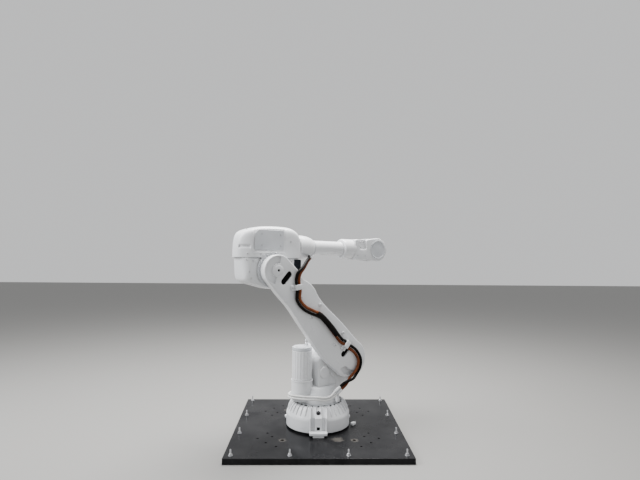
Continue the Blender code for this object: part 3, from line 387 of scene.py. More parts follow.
# Turns shared by many pieces. LAID: Z goes to the right and Y up. UPRIGHT: Z ahead, Y up and X to the left.
# BACKWARD, a mirror: Z to the left, which is behind the base, and Y up. FORWARD: Z ahead, for round pieces.
LAID = Matrix.Rotation(math.pi / 2, 4, "X")
UPRIGHT = Matrix(((0, 0, 1), (1, 0, 0), (0, 1, 0))).to_4x4()
BACKWARD = Matrix(((1, 0, 0), (0, 0, 1), (0, 1, 0))).to_4x4()
FORWARD = facing((0, 0, 0), AHEAD)


def grid_faces(rows, columns):
    """Quads of a grid of rows by columns, wrapped round in the column direction."""
    row, column = np.meshgrid(np.arange(rows - 1), np.arange(columns), indexing="ij")
    after = (column + 1) % columns
    low, high = row * columns, (row + 1) * columns
    return np.stack([low + column, low + after, high + after, high + column], -1).reshape(-1, 4).tolist()


def lofted(rings):
    """A closed shape from a stack of equal rings of points, (rows, columns, 3), both ends capped flat."""
    rows, columns = rings.shape[:2]
    faces = grid_faces(rows, columns)
    faces += [tuple(range(columns))[::-1], tuple(range((rows - 1) * columns, rows * columns))]
    return faced_out(rings.reshape(-1, 3), faces, rows, columns)


def faced_out(points, faces, rows, columns):
    """Turn all faces over if the signed volume of the stack is negative."""
    corners = np.array(faces[: (rows - 1) * columns])
    a, b, c, d = (points[corners[:, i]] - points.mean(0) for i in range(4))
    volume = np.einsum("ij,ij->i", a, np.cross(b, c)).sum() + np.einsum("ij,ij->i", a, np.cross(c, d)).sum()
    return points, faces if volume > 0 else [tuple(face)[::-1] for face in faces]


def rounded_line(points, radius, closed=False, steps=6):
    """A line whose corners turn along parabolas: B(t) = (1-t)^2 a + 2 t (1-t) corner + t^2 b, where a and b
    lie on the two edges, radius away from the corner or at most 0.45 of an edge away."""
    points = np.asarray(points, float)
    before, after = np.roll(points, 1, 0), np.roll(points, -1, 0)
    into, out = before - points, after - points
    length_in, length_out = np.linalg.norm(into, axis=1), np.linalg.norm(out, axis=1)
    reach = np.minimum(np.broadcast_to(radius, length_in.shape), 0.45 * np.minimum(length_in, length_out))
    a = points + into * (reach / length_in)[:, None]
    b = points + out * (reach / length_out)[:, None]
    t = np.linspace(0, 1, steps + 1)[:, None]
    curves = [(1 - t) ** 2 * p + 2 * t * (1 - t) * q + t**2 * r for p, q, r in zip(a, points, b)]
    if not closed:
        curves = [points[:1], *curves[1:-1], points[-1:]]
    return np.vstack(curves)


def rectangle(left, low, right, high, corner=0.0, steps=6):
    """A rectangle's outline, its corners rounded where a corner radius is given."""
    points = [(left, low), (right, low), (right, high), (left, high)]
    return rounded_line(points, corner, True, steps) if corner else points


def smooth_loop(knots, step):
    """Closed Catmull-Rom curve through the knots, about a step between points."""
    knots = np.asarray(knots, float)
    before, after, beyond = np.roll(knots, 1, 0), np.roll(knots, -1, 0), np.roll(knots, -2, 0)
    curve = []
    for p, a, b, q in zip(before, knots, after, beyond):
        t = np.linspace(0, 1, max(2, round(float(np.linalg.norm(b - a)) / step)), endpoint=False)[:, None]
        square = 2 * p - 5 * a + 4 * b - q
        curve.append((2 * a + (b - p) * t + square * t**2 + (3 * a - p - 3 * b + q) * t**3) / 2)
    return np.vstack(curve)


def circle(radius, sides=48, centre=(0, 0), start=0.0, end=2 * math.pi):
    """Points on a circle, or on an arc of it with both ends."""
    angle = np.linspace(start, end, sides, endpoint=end - start < 6.28)
    return np.stack([centre[0] + radius * np.cos(angle), centre[1] + radius * np.sin(angle)], -1)


def stadium(length, width, centre=(0, 0), turn=0.0):
    """A slot's outline with round ends, its length turned from the second coordinate."""
    half = (length - width) / 2
    points = np.vstack([
        circle(width / 2, 13, (0, half), 0, math.pi),
        circle(width / 2, 13, (0, -half), math.pi, 2 * math.pi - 1e-4),
    ])
    c, s = math.cos(turn), math.sin(turn)
    return points @ np.array([[c, s], [-s, c]]) + np.array(centre)


def area(outline):
    """Signed area of an outline: half the sum of x dy - y dx."""
    x, y = np.asarray(outline).T
    return 0.5 * float((x * np.roll(y, -1) - y * np.roll(x, -1)).sum())


def grown(outline, offset):
    """An anticlockwise outline moved outwards by offset along the mean normal of the edges at each point."""
    outline = np.asarray(outline, float)
    edge = np.roll(outline, -1, 0) - outline
    normal = np.stack([edge[:, 1], -edge[:, 0]], -1)
    normal /= np.linalg.norm(normal, axis=1)[:, None] + 1e-12
    mean = normal + np.roll(normal, 1, 0)
    mean /= np.maximum((mean * mean).sum(1), 0.4)[:, None] / 2
    return outline + mean * offset


def inside(points, outline):
    """Which points lie inside an outline: an odd count of edges to their right."""
    x, y = points[:, 0][:, None], points[:, 1][:, None]
    (x0, y0), (x1, y1) = outline.T, np.roll(outline, -1, 0).T
    crosses = (y0 > y) != (y1 > y)
    rise = np.where(y1 == y0, 1e-12, y1 - y0)
    return (crosses & (x < x0 + (y - y0) * (x1 - x0) / rise)).sum(1) % 2 == 1


def fillet_rows(outline, high, radius, steps=5):
    """Rings from the face at high down over its rim: inset r (1 - sin a) at depth r (1 - cos a)."""
    angle = np.linspace(0, math.pi / 2, steps + 1)
    rows = [(grown(outline, -radius * (1 - math.sin(a))), high - radius * (1 - math.cos(a))) for a in angle]
    return [np.column_stack([ring, np.full(len(ring), depth)]) for ring, depth in rows]


def slab(outline, low, high, radius, wells=(), lip=0.0015, back=None):
    """A plate over an outline from low to high with quarter-round rims, the low one of radius back. Wells are
    (outline, depth) hollows sunk in its high face, each with a rounded lip, a straight wall and a flat
    floor."""
    outline = np.asarray(outline, float)
    outline = outline if area(outline) > 0 else outline[::-1]
    top = fillet_rows(outline, high, radius)
    bottom = fillet_rows(outline, high, radius if back is None else back)
    bottom = [ring * (1, 1, -1) + (0, 0, high + low) for ring in bottom[::-1]]
    rings = np.array(top + bottom)
    rows, count = rings.shape[:2]
    points = [rings.reshape(-1, 3)]
    faces = [tuple(face)[::-1] for face in grid_faces(rows, count)]
    faces.append(tuple(range((rows - 1) * count, rows * count))[::-1])
    if not wells:
        faces.append(tuple(range(count)))
        return points[0], faces
    borders, ids, base = [top[0][:, :2]], [np.arange(count)], rows * count
    for hole, depth in wells:
        hole = np.asarray(hole, float)
        hole = hole if area(hole) > 0 else hole[::-1]
        angle = np.linspace(0, math.pi / 2, 4)
        stack = [(grown(hole, lip * (1 - math.sin(a))), high - lip * (1 - math.cos(a))) for a in angle]
        stack += [(hole, high - depth + lip), (grown(hole, -lip), high - depth)]
        stack = np.array([np.column_stack([ring, np.full(len(ring), z)]) for ring, z in stack])
        points.append(stack.reshape(-1, 3))
        faces += [tuple(base + i for i in face) for face in grid_faces(len(stack), len(hole))]
        faces.append(tuple(range(base + (len(stack) - 1) * len(hole), base + len(stack) * len(hole))))
        borders.append(stack[0][:, :2])
        ids.append(np.arange(base, base + len(hole)))
        base += len(stack) * len(hole)
    flat, index = np.vstack(borders), np.concatenate(ids)
    starts = np.concatenate([[0], np.cumsum([len(border) for border in borders])])
    edges = [(a + i, a + (i + 1) % (b - a)) for a, b in zip(starts, starts[1:]) for i in range(b - a)]
    found = delaunay_2d_cdt([Vector(p) for p in flat], edges, [], 0, 1e-7)
    triangles = np.array(found[2])
    origin = np.array([source[0] for source in found[3]])
    middle = np.array([tuple(v) for v in found[0]])[triangles].mean(1)
    keep = inside(middle, borders[0])
    for border in borders[1:]:
        keep &= ~inside(middle, border)
    chosen = index[origin[triangles[keep]]]
    a, b, c = (flat[origin[triangles[keep]]][:, i] for i in range(3))
    clockwise = (b[:, 0] - a[:, 0]) * (c[:, 1] - a[:, 1]) < (b[:, 1] - a[:, 1]) * (c[:, 0] - a[:, 0])
    chosen[clockwise] = chosen[clockwise][:, ::-1]
    return np.vstack(points), faces + chosen.tolist()


def revolved(profile, sides=72, wave=None):
    """A (radius, height) profile turned about Z with flat caps; wave(angle, height) changes the radius."""
    profile = np.asarray(profile, float)
    angle = np.linspace(0, 2 * np.pi, sides, endpoint=False)
    radius = np.broadcast_to(profile[:, :1], (len(profile), sides))
    height = np.broadcast_to(profile[:, 1:], radius.shape)
    if wave:
        radius = radius + wave(angle[None, :], height)
    return lofted(np.stack([radius * np.cos(angle), radius * np.sin(angle), height], -1))


def turned_disc(radius, low, high, edge, sides=72):
    """A round plate about Z with rounded rims."""
    line = [(radius * 0.3, low), (radius, low), (radius, high), (radius * 0.3, high)]
    return revolved(rounded_line(line, edge), sides)


def torus(radius, bar, sides=28, around_bar=10):
    """A ring about Z: (R + r cos v) in the plane, r sin v above it."""
    u = np.linspace(0, 2 * np.pi, sides, endpoint=False)[:, None]
    v = np.linspace(0, 2 * np.pi, around_bar, endpoint=False)[None, :]
    reach = radius + bar * np.cos(v)
    height = np.broadcast_to(bar * np.sin(v), (sides, around_bar))
    points = np.stack([reach * np.cos(u), reach * np.sin(u), height], -1)
    row, column = np.meshgrid(np.arange(sides), np.arange(around_bar), indexing="ij")
    next_row, next_column = (row + 1) % sides, (column + 1) % around_bar
    quads = np.stack([row * around_bar + column, next_row * around_bar + column,
                      next_row * around_bar + next_column, row * around_bar + next_column], -1)
    return points.reshape(-1, 3), quads.reshape(-1, 4).tolist()


def rounded_hull(node, place, centre, way, power, rows=96, columns=400):
    """Rounded half of a flat-sided casting, in the frame of a place. Its surface lies at
    r(d) = (sum of max(0, n.d / h)^power)^(-1/power) from the centre, for directions d over the half sphere
    about way, with n and h the sides' normals and distances read off the CAD node. A flat side closes it."""
    item = frame["nodes"][node]
    world = np.array(place.inverted() @ item.matrix_world)
    count = len(item.data.vertices)
    corners = np.empty(count * 3)
    item.data.vertices.foreach_get("co", corners)
    corners = corners.reshape(-1, 3) @ world[:3, :3].T + world[:3, 3]
    normals, middles = np.empty(len(item.data.polygons) * 3), np.empty(len(item.data.polygons) * 3)
    item.data.polygons.foreach_get("normal", normals)
    item.data.polygons.foreach_get("center", middles)
    normals = normals.reshape(-1, 3) @ world[:3, :3].T
    middles = middles.reshape(-1, 3) @ world[:3, :3].T + world[:3, 3]
    centre, way = np.array(centre), np.array(way) / np.linalg.norm(way)
    height = ((middles - centre) * normals).sum(1)
    reach = ((corners - centre) @ normals.T).max(0)
    keep = (reach < height + 4e-4) & (height > 1e-3) & (normals @ way > -0.98)
    first = np.unique(np.round(normals[keep], 2), axis=0, return_index=True)[1]
    normals, height = normals[keep][first], height[keep][first]
    side = np.cross(way, (0.0, 0.0, 1.0) if abs(way[2]) < 0.9 else (1.0, 0.0, 0.0))
    side /= np.linalg.norm(side)
    other = np.cross(way, side)
    turn = np.linspace(0, 2 * np.pi, columns, endpoint=False)[None, :, None]
    rise = np.linspace(0, math.radians(89.5), rows)[:, None, None]
    d = np.cos(rise) * (np.cos(turn) * side + np.sin(turn) * other) + np.sin(rise) * way
    share = np.maximum(0, d @ normals.T / height)
    return lofted(centre + d / ((share**power).sum(-1) ** (1 / power))[..., None])


def smooth_route(knots, step, coarse=0.015):
    """Points about a step apart on a Catmull-Rom curve, straight in its first and last span, and the share of
    the way at each, counted in coarse pieces."""
    knots = np.asarray(knots, float)
    ends = np.vstack([2 * knots[0] - knots[1], knots, 2 * knots[-1] - knots[-2]])
    route, passed, total = [], [], 0
    for i, (before, start, end, after) in enumerate(zip(ends, ends[1:], ends[2:], ends[3:])):
        length = float(np.linalg.norm(end - start))
        count = max(1, round(length / step))
        t = (np.arange(count) / count)[:, None]
        within = 0 < i < len(knots) - 2
        bend = (2 * before - 5 * start + 4 * end - after) * t**2
        bend += (3 * start - before - 3 * end + after) * t**3
        route.append((2 * start + (end - before) * t + bend) / 2 if within else start + (end - start) * t)
        pieces = max(1, round(length / coarse)) if within else 1
        passed.append(total + t[:, 0] * pieces)
        total += pieces
    return np.vstack([*route, knots[-1:]]), np.append(np.concatenate(passed), total) / total


def paired(route, share, side, angles, shares):
    """One hose of a pair, half a pitch from the route: its angle about it goes from one value to another
    between two shares of the way, as 3 t^2 - 2 t^3."""
    run = np.gradient(route, axis=0)
    run /= np.linalg.norm(run, axis=1)[:, None]
    across = np.cross(run, (0, 1, 0))
    across /= np.linalg.norm(across, axis=1)[:, None]
    t = np.clip((share - shares[0]) / (shares[1] - shares[0]), 0, 1)
    angle = (angles[0] + (angles[1] - angles[0]) * t * t * (3 - 2 * t))[:, None]
    return route + side * HOSE_PITCH / 2 * (across * np.cos(angle) + np.cross(run, across) * np.sin(angle))


def pipe(route, radius, sides=16, rib=0.0, pitch=0.005):
    """Circles carried square to a route, both ends capped; the radius swells by rib along a cosine."""
    run = np.gradient(route, axis=0)
    run /= np.linalg.norm(run, axis=1)[:, None]
    side = np.cross(run, (0.13, 0.97, 0.21))
    side /= np.linalg.norm(side, axis=1)[:, None]
    up = np.cross(side, run)
    length = np.concatenate([[0], np.cumsum(np.linalg.norm(np.diff(route, axis=0), axis=1))])
    swell = radius - rib * (0.5 - 0.5 * np.cos(2 * np.pi * length / pitch))
    angle = np.linspace(0, 2 * np.pi, sides, endpoint=False)[None, :, None]
    around_route = np.cos(angle) * side[:, None] + np.sin(angle) * up[:, None]
    return lofted(route[:, None] + swell[:, None, None] * around_route)


def hex_bolt(radius, height, washer=True):
    """A hexagon head with a rounded top on a washer, about Z from 0 up."""
    bore, thick = 0.5 * radius, 0.2 * height
    head = revolved([(bore, thick), (radius, thick), (radius, 0.9 * height), (0.86 * radius, height)], 6)
    if not washer:
        return head
    rim = 1.25 * radius
    return together([head, revolved([(bore, 0), (rim, 0), (rim, thick), (bore, thick)], 14)])


def cap_screw(radius, height):
    """A round socket head: rim, and a hexagon hollow in its top."""
    shares = [(0.5, 0), (1, 0), (1, 0.85), (0.88, 1), (0.55, 1), (0.5, 0.45), (0.1, 0.4)]
    return revolved(np.array(shares) * (radius, height), 12)


# Materials, and the one that each slot of the solids takes

WHITE = enamel("white_enamel", (0.82, 0.83, 0.85), (0.75, 0.765, 0.785), 0.3)
GREY = enamel("grey_enamel", (0.66, 0.68, 0.71), (0.56, 0.58, 0.61), 0.36)
PLATE = black_plate_paint()
STEEL = machined_steel("turned_steel", (0.62, 0.62, 0.64), (0.42, 0.42, 0.44), 0.34)
ZINC = machined_steel("zinc_plated", (0.75, 0.75, 0.76), (0.52, 0.52, 0.55), 0.3)
BLACKENED = machined_steel("blackened_steel", (0.05, 0.05, 0.052), (0.022, 0.022, 0.024), 0.42)
# Near-black finish for painted shade in holes, slots and windows.
HOLLOW = moulded("shaded_hollow", (0.004, 0.004, 0.004), (0.002, 0.002, 0.002), 0.8)
DARK = moulded("dark_plastic", (0.022, 0.027, 0.036), (0.01, 0.012, 0.016), 0.5)
RUBBER = moulded("black_hose", (0.009, 0.007, 0.006), (0.004, 0.003, 0.003), 0.5)
COPPER = moulded("copper_brown_hose", (0.24, 0.075, 0.03), (0.11, 0.033, 0.014), 0.5)
CABLE = moulded("off_white_cable", (0.84, 0.84, 0.83), (0.74, 0.74, 0.72), 0.35)

BY_SLOT = {
    "white_paint": WHITE,
    "grey_paint": GREY,
    "black_steel": PLATE,
    "bare_steel": STEEL,
    "dark_plastic": DARK,
    "black_rubber": RUBBER,
    "copper_sleeve": COPPER,
    "white_cable": CABLE,
}


def dress_frame():
    """Give every CAD node the finish of its material slot."""
    for part in frame["record"]["subparts"]:
        item = frame["nodes"][part["node"]]
        if not item.material_slots:
            item.data.materials.append(None)
        for slot in item.material_slots:
            slot.material = BY_SLOT[part["material_slot"]]


# Stand and base

FOOT_ANGLES = (-90, 30, 150)
FOOT_WINDOW = (-0.0115, 0.038, 0.0115, 0.061)


def anchors():
    """Twelve anchor studs with nut and washer along the plate's edges."""
    edge, inner = PLATE_SIDE / 2 - 0.045, 0.185
    bar, top = 0.0055, 0.04
    spots = [(x, y) for x in (-edge, -inner, inner, edge) for y in (-edge, -inner, inner, edge)]
    spots = [(x, y) for x, y in spots if edge in (abs(x), abs(y))]
    washer = turned_disc(0.0145, 0.0, 0.003, 0.0008, 20)
    nut = placed(hex_bolt(0.0105, 0.012, False), moved(0, 0, 0.002))
    stud = revolved([(0.003, 0.0), (bar, 0.0), (bar, top - 0.003), (bar - 0.0015, top), (0.001, top)], 12)
    places = [DECK @ moved(x, y, 0) @ Matrix.Rotation(17 * x + 5 * y, 4, "Z") for x, y in spots]
    bolts = repeated(together([washer, nut, stud]), places)
    surface("anchor_bolts", bolts, ZINC, "stand")


def locating_block():
    """Small white block screwed to the plate beside the base."""
    half_width, half_length, height, hole_r, hole_y = 0.012, 0.021, 0.018, 0.0045, 0.01
    wells = [(circle(hole_r, 16, (0, y)), 0.006) for y in (hole_y, -hole_y)]
    outline = rectangle(-half_width, -half_length, half_width, half_length, 0.003)
    block = slab(outline, GAP, height, 0.0015, wells)
    place = DECK @ moved(0.264, -0.022, 0) @ turned(-38)
    surface("locating_block", placed(block, place), WHITE, "stand")


def foot_shapes(reach, width, angle, window):
    """Two side walls, the channel floor between them and the toe of one foot, turned to its angle."""
    body, thick, depth, low, root = reach - 0.032, 0.0115, 0.021, 0.02, 0.16
    middle = width / 2 - thick / 2
    wall = [(root, low), (body + 0.001, low), (body, 0.124), (0.2145, 0.159), (0.1895, 0.1755),
            (0.168, 0.1755)]
    wall = rounded_line(wall, 0.008, True, 4)
    shapes = [placed(slab(wall, side * middle - thick / 2, side * middle + thick / 2, 0.004), LAID)
              for side in (-1, 1)]
    hollow = [(rectangle(*FOOT_WINDOW, 0.002, 3), 0.0085)] if window else ()
    for half, back, wells in ((width / 2 - thick + 0.002, depth, ()), (width * 0.2, 0.006, hollow)):
        front = body - back
        shapes.append(placed(slab(rectangle(-half, low, half, 0.121), 0.2, front, 0.0025, wells), UPRIGHT))
        slope = [(0.17, 0.1), (front, 0.116), (front, 0.1215), (0.2115 - back / 1.6, 0.1575),
                 (0.19 - back / 4, 0.172), (0.168, 0.172 - back / 4)]
        shapes.append(placed(slab(rounded_line(slope, 0.005, True, 3), -half, half, 0.0015), LAID))
    shapes.append(slab(rectangle(root, -width / 2, reach, width / 2, 0.006, 4), 0.0135, 0.034, 0.004))
    inner = width / 2 - 0.023
    shapes.append(slab(rectangle(0.14, -inner, reach - 0.002, inner, 0.005, 4), GAP, 0.024, 0.002))
    return placed(together(shapes), turned(angle))


def base():
    """Domed base casting with its ribs and feet, the painted shade in its window and round the foot bolts,
    bearing ring and bolts.
    """
    bore, skirt, top = 0.04, 0.012, 0.1781
    profile = rounded_line([
        (bore, GAP), (0.15, GAP), (0.15, skirt), (0.2345, skirt), (0.235, 0.1), (0.2221, 0.1235),
        (0.2045, 0.1555), (0.1865, 0.1775), (0.166, top), (bore, top),
    ], [0, 0.002, 0.002, 0.004, 0.02, 0.012, 0.012, 0.008, 0.002, 0], steps=5)
    rib = [(0.17, 0.112), (0.224, 0.112), (0.226, 0.1275), (0.2112, 0.1605), (0.191, 0.183), (0.172, 0.185)]
    rib = placed(slab(rounded_line(rib, 0.006, True, 4), -0.0035, 0.0035, 0.0022), LAID)
    feet = [foot_shapes(0.282, 0.124, FOOT_ANGLES[0], True)]
    feet += [foot_shapes(0.266, 0.09, angle, False) for angle in FOOT_ANGLES[1:]]
    dome = together([revolved(profile, 144), repeated(rib, around(36, math.pi / 36)), *feet])
    item = surface("base_dome", placed(dome, DECK), WHITE, "stand")
    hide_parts("base_casting")
    left, low, right, high = FOOT_WINDOW
    # Painted shade: a near-black slab in the front foot's window, for the dark inside the hole.
    shade = slab(rectangle(left + GAP, low + GAP, right - GAP, high - GAP), 0.2335, 0.2372, 0.0005)
    shade = placed(shade, DECK @ turned(FOOT_ANGLES[0]) @ UPRIGHT)
    surface("foot_window_shade", shade, HOLLOW, "stand")
    screws = ringed(cap_screw(0.0058, 0.007), 24, 0.1745, 0.1776)
    surface("base_ring_screws", placed(screws, DECK), BLACKENED, "stand")
    places = [turned(angle) @ facing((0.2145, 0, 0.1495), (0.64, 0, 0.77)) for angle in FOOT_ANGLES]
    heads = repeated(hex_bolt(0.0115, 0.012), places)
    surface("foot_bolts", placed(heads, DECK), BLACKENED, "stand")
    # Painted shade: a dark disc under each foot bolt, for the shade in the recess round it.
    bolt_shade_rings = repeated(turned_disc(0.0165, -0.004, 0.0012, 0.0004, 28), places)
    surface("foot_bolt_shade_rings", placed(bolt_shade_rings, DECK), BLACKENED, "stand")
    ring = turned_disc(0.165, 0.178 + GAP, RING_TOP, 0.002, 120)
    item = surface("bearing_seat_ring", placed(ring, DECK), GREY, "stand")
    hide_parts("bearing_ring")


def rear_plugs():
    """Connector box behind the base with two round sockets and a wide one."""
    half, low, high, near, far = 0.075, 0.012, 0.112, 0.222, 0.308
    socket_x, socket_height, depth = (-0.036, 0.012), 0.062, 0.006
    wells = [(circle(0.019, 28, (x, socket_height)), depth) for x in socket_x]
    wells.append((rectangle(0.04, 0.03, 0.062, 0.094, 0.003, 3), 0.004))
    box = slab(rectangle(-half, low, half, high, 0.006), near, far, 0.004, wells)
    item = surface("rear_plug_box", placed(box, DECK @ BACKWARD), WHITE, "stand")
    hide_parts("base_connector_box")
    places = [facing((x, far - depth, socket_height), LEFT) for x in socket_x]
    sockets = repeated(turned_disc(0.016, 0.0, 0.0052, 0.0015, 28), places)
    surface("rear_sockets", placed(sockets, DECK), DARK, "stand")


# Turret and motors

SHOULDER = (SHOULDER_OFFSET, 0, SHOULDER_HEIGHT)
TURRET_RIGHT = 0.092
TURRET_LEFT = 0.112
MOTOR_X = -0.142
MOTOR_FOOT = 0.252


def turret():
    """Turning column with a pocket, its floor, flare, hub, boss, motor lobe, shoulder gear rim and bolts."""
    inner, floor_r, floor_low = 0.03, 0.157, RING_TOP + GAP
    floor = [(inner, floor_low), (floor_r, floor_low), (floor_r, 0.232), (0.126, 0.3), (inner, 0.3)]
    floor = revolved(rounded_line(floor, [0, 0.002, 0.012, 0.02, 0]), 120)
    outline = [
        (-0.0578, 0.2241), (-0.0578, 0.4897), (-0.0193, 0.5581), (0.1208, 0.6081), (0.175, 0.6134),
        (0.28, 0.4608), (0.2625, 0.3556), (0.1505, 0.2241),
    ]
    pocket = rounded_line([(0.03, 0.31), (0.1, 0.3), (0.105, 0.35), (0.045, 0.4)], 0.01, True)
    outline = rounded_line(outline, 0.03, True)
    column = slab(outline, -TURRET_LEFT, TURRET_RIGHT, 0.012, [(pocket, 0.008)], 0.005)
    hub_place = facing(SHOULDER, RIGHT)
    hub = turned_disc(0.128, -TURRET_LEFT, TURRET_RIGHT, 0.012, 96)
    boss = turned_disc(0.043, TURRET_RIGHT - 0.012, TURRET_RIGHT + 0.009, 0.008, 64)
    lobe = [(0.02, 0.2), (0.0656, 0.2), (0.082, 0.226), (0.082, MOTOR_FOOT), (0.02, MOTOR_FOOT)]
    lobe = revolved(rounded_line(lobe, 0.006))
    web = slab(rectangle(MOTOR_X + 0.002, -0.055, 0, 0.055), 0.203, 0.25, 0.006)
    entry = slab(rectangle(MOTOR_X, 0, MOTOR_X + 0.05, 0.118, 0.008), 0.202, 0.25, 0.005)
    whole = together([
        floor, placed(column, LAID), placed(hub, hub_place), placed(boss, facing((-0.006, 0, 0.4), RIGHT)),
        placed(lobe, moved(MOTOR_X, 0, 0)), web, entry,
    ])
    item = surface("turret_column", placed(whole, AXIS_1), WHITE, "turret")
    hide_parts("turret_casting")
    gear = placed(turned_disc(0.126, TURRET_RIGHT + GAP, 0.1082, 0.003, 96), hub_place)
    item = surface("shoulder_gear_rim", placed(gear, AXIS_1), GREY, "turret")
    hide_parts("shoulder_gearbox")
    far_bolts = ringed(cap_screw(0.0055, 0.006), 16, 0.119, -TURRET_LEFT - 0.0015, flip=True)
    floor_bolts = ringed(cap_screw(0.005, 0.006), 18, 0.146, 0.236, 0.1)
    bolts = together([placed(far_bolts, hub_place), floor_bolts])
    surface("turret_bolts", placed(bolts, AXIS_1), ZINC, "turret")


def fluted(radius, low, high, count, depth, edge=0.004):
    """A motor body: r = R - depth (0.5 + 0.5 cos(count angle))^6 between two plain bands near its ends."""
    band, run, lead, bore = 0.008, 0.003, 0.0005, radius * 0.3
    start, full = band + lead, band + run + lead

    def wave(angle, height):
        """How far the flutes cut in at an angle and height; they run out into the bands."""
        fade = np.clip((height - low - band) / run, 0, 1) * np.clip((high - band - height) / run, 0, 1)
        return -depth * (0.5 + 0.5 * np.cos(count * angle)) ** 6 * fade

    heights = (low, low + start, low + full, high - full, high - start, high)
    line = [(bore, low), *((radius, height) for height in heights), (bore, high)]
    profile = rounded_line(line, [0, edge, 0, 0, 0, 0, edge, 0], steps=4)
    return revolved(profile, count * 12, wave)


def motors():
    """Upright axis 1 motor with lifting eye, and the axis 2 motor on the far side."""
    place = AXIS_1 @ moved(MOTOR_X, 0, 0)
    foot_low, foot_high, body_high, cap_high = MOTOR_FOOT + GAP, 0.352, 0.563, 0.59
    foot = together([
        turned_disc(0.0775, foot_low, foot_high, 0.004),
        turned_disc(0.08, foot_low, MOTOR_FOOT + 0.01, 0.002),
        turned_disc(0.08, foot_high - 0.01, foot_high, 0.002),
    ])
    item = surface("motor_foot", placed(foot, place), WHITE, "turret")
    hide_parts("axis1_motor_foot")
    body = fluted(0.073, foot_high + GAP, body_high, 20, 0.0034)
    item = surface("motor_body", placed(body, place), WHITE, "turret")
    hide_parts("axis1_motor")
    cap = turned_disc(0.073, body_high + GAP, cap_high, 0.006)
    cap = together([cap, turned_disc(0.05, 0.585, 0.593, 0.002)])
    item = surface("motor_cap", placed(cap, place), GREY, "turret")
    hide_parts("axis1_motor_cap")
    screw = cap_screw(0.0042, 0.004)
    screws = together([ringed(screw, 6, 0.063, cap_high - 0.0005, 0.3),
                       ringed(screw, 4, 0.0715, foot_high - 0.0085, 0.78, True)])
    surface("motor_screws", placed(screws, place), ZINC, "turret")
    eye = place @ moved(0.0365, 0, 0.5933)
    ring = placed(torus(0.018, 0.006), facing((0, 0, 0.03), AHEAD))
    stem = [(0.003, 0), (0.012, 0), (0.012, 0.006), (0.0062, 0.009), (0.006, 0.016), (0.002, 0.016)]
    stem = revolved(rounded_line(stem, 0.002), 24)
    item = surface("motor_lifting_eye", placed(together([ring, stem]), eye), ZINC, "turret")
    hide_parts("lifting_eye")
    far_motor()


def far_motor():
    """Axis 2 motor: bolted flange, fluted body and cap."""
    place = AXIS_1 @ facing(SHOULDER, LEFT)
    flange_high, body_high, cap_high = 0.142, 0.312, 0.34
    plate = turned_disc(0.1, TURRET_LEFT + GAP, flange_high, 0.004, 96)
    plate = together([plate, ringed(hex_bolt(0.007, 0.006), 8, 0.086, flange_high - 0.0005, 0.2)])
    item = surface("far_motor_flange", placed(plate, place), WHITE, "turret")
    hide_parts("axis2_motor_flange")
    body = fluted(0.066, flange_high + GAP, body_high, 22, 0.0026)
    item = surface("far_motor_body", placed(body, place), WHITE, "turret")
    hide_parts("axis2_motor")
    cap = turned_disc(0.064, body_high + GAP, cap_high, 0.005)
    cap = together([cap, turned_disc(0.03, 0.33, 0.342, 0.002)])
    item = surface("far_motor_cap", placed(cap, place), GREY, "turret")
    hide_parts("axis2_motor_cap")


# Lower arm

ELBOW = (0, LOWER_ARM_LENGTH)
SLOTS = (((0.01, 0.819), math.radians(-84)), ((0.0118, 0.072), math.radians(-90)))
ARM_BOSSES = ((0.078, 0.489), (0.08, 0.191), (-0.029, 0.182), (-0.034, 0.475), (0.0, 0.64))
BOSS_HEIGHT = 0.009
CLAMPS = {
    "low": ((0.04, 0.116), unit((-0.13, 0.0, 0.99))),
    "high": ((0.027, 0.717), unit((0.55, 0.0, 0.835))),
}


def on_arm(shape, x, z, turn=0.0, rise=0.0):
    """Lay a shape made about Z on the lower arm's outer face, its top pointing away from the arm."""
    return placed(shape, AXIS_2 @ moved(x, -LOWER_ARM_OUTER - rise, z) @ LAID @ Matrix.Rotation(turn, 4, "Z"))


def arm_outline():
    """Side view of the lower arm, anticlockwise: two round ends and two swelling edges on a smooth curve."""
    shoulder = circle(0.142, 14, (0, 0), math.pi, 2 * math.pi)
    front = [(0.1333, 0.072), (0.1263, 0.252), (0.1074, 0.45), (0.1097, 0.54), (0.1239, 0.603),
             (0.1215, 0.657), (0.1027, 0.72), (0.0968, 0.765), (0.1121, 0.7875), (0.1109, 0.819)]
    elbow = circle(0.107, 14, ELBOW, 0, math.pi)
    rear = [(-0.1123, 0.774), (-0.1123, 0.648), (-0.1342, 0.45), (-0.156, 0.198)]
    return smooth_loop(np.vstack([shoulder, front, elbow, rear]), 0.012)


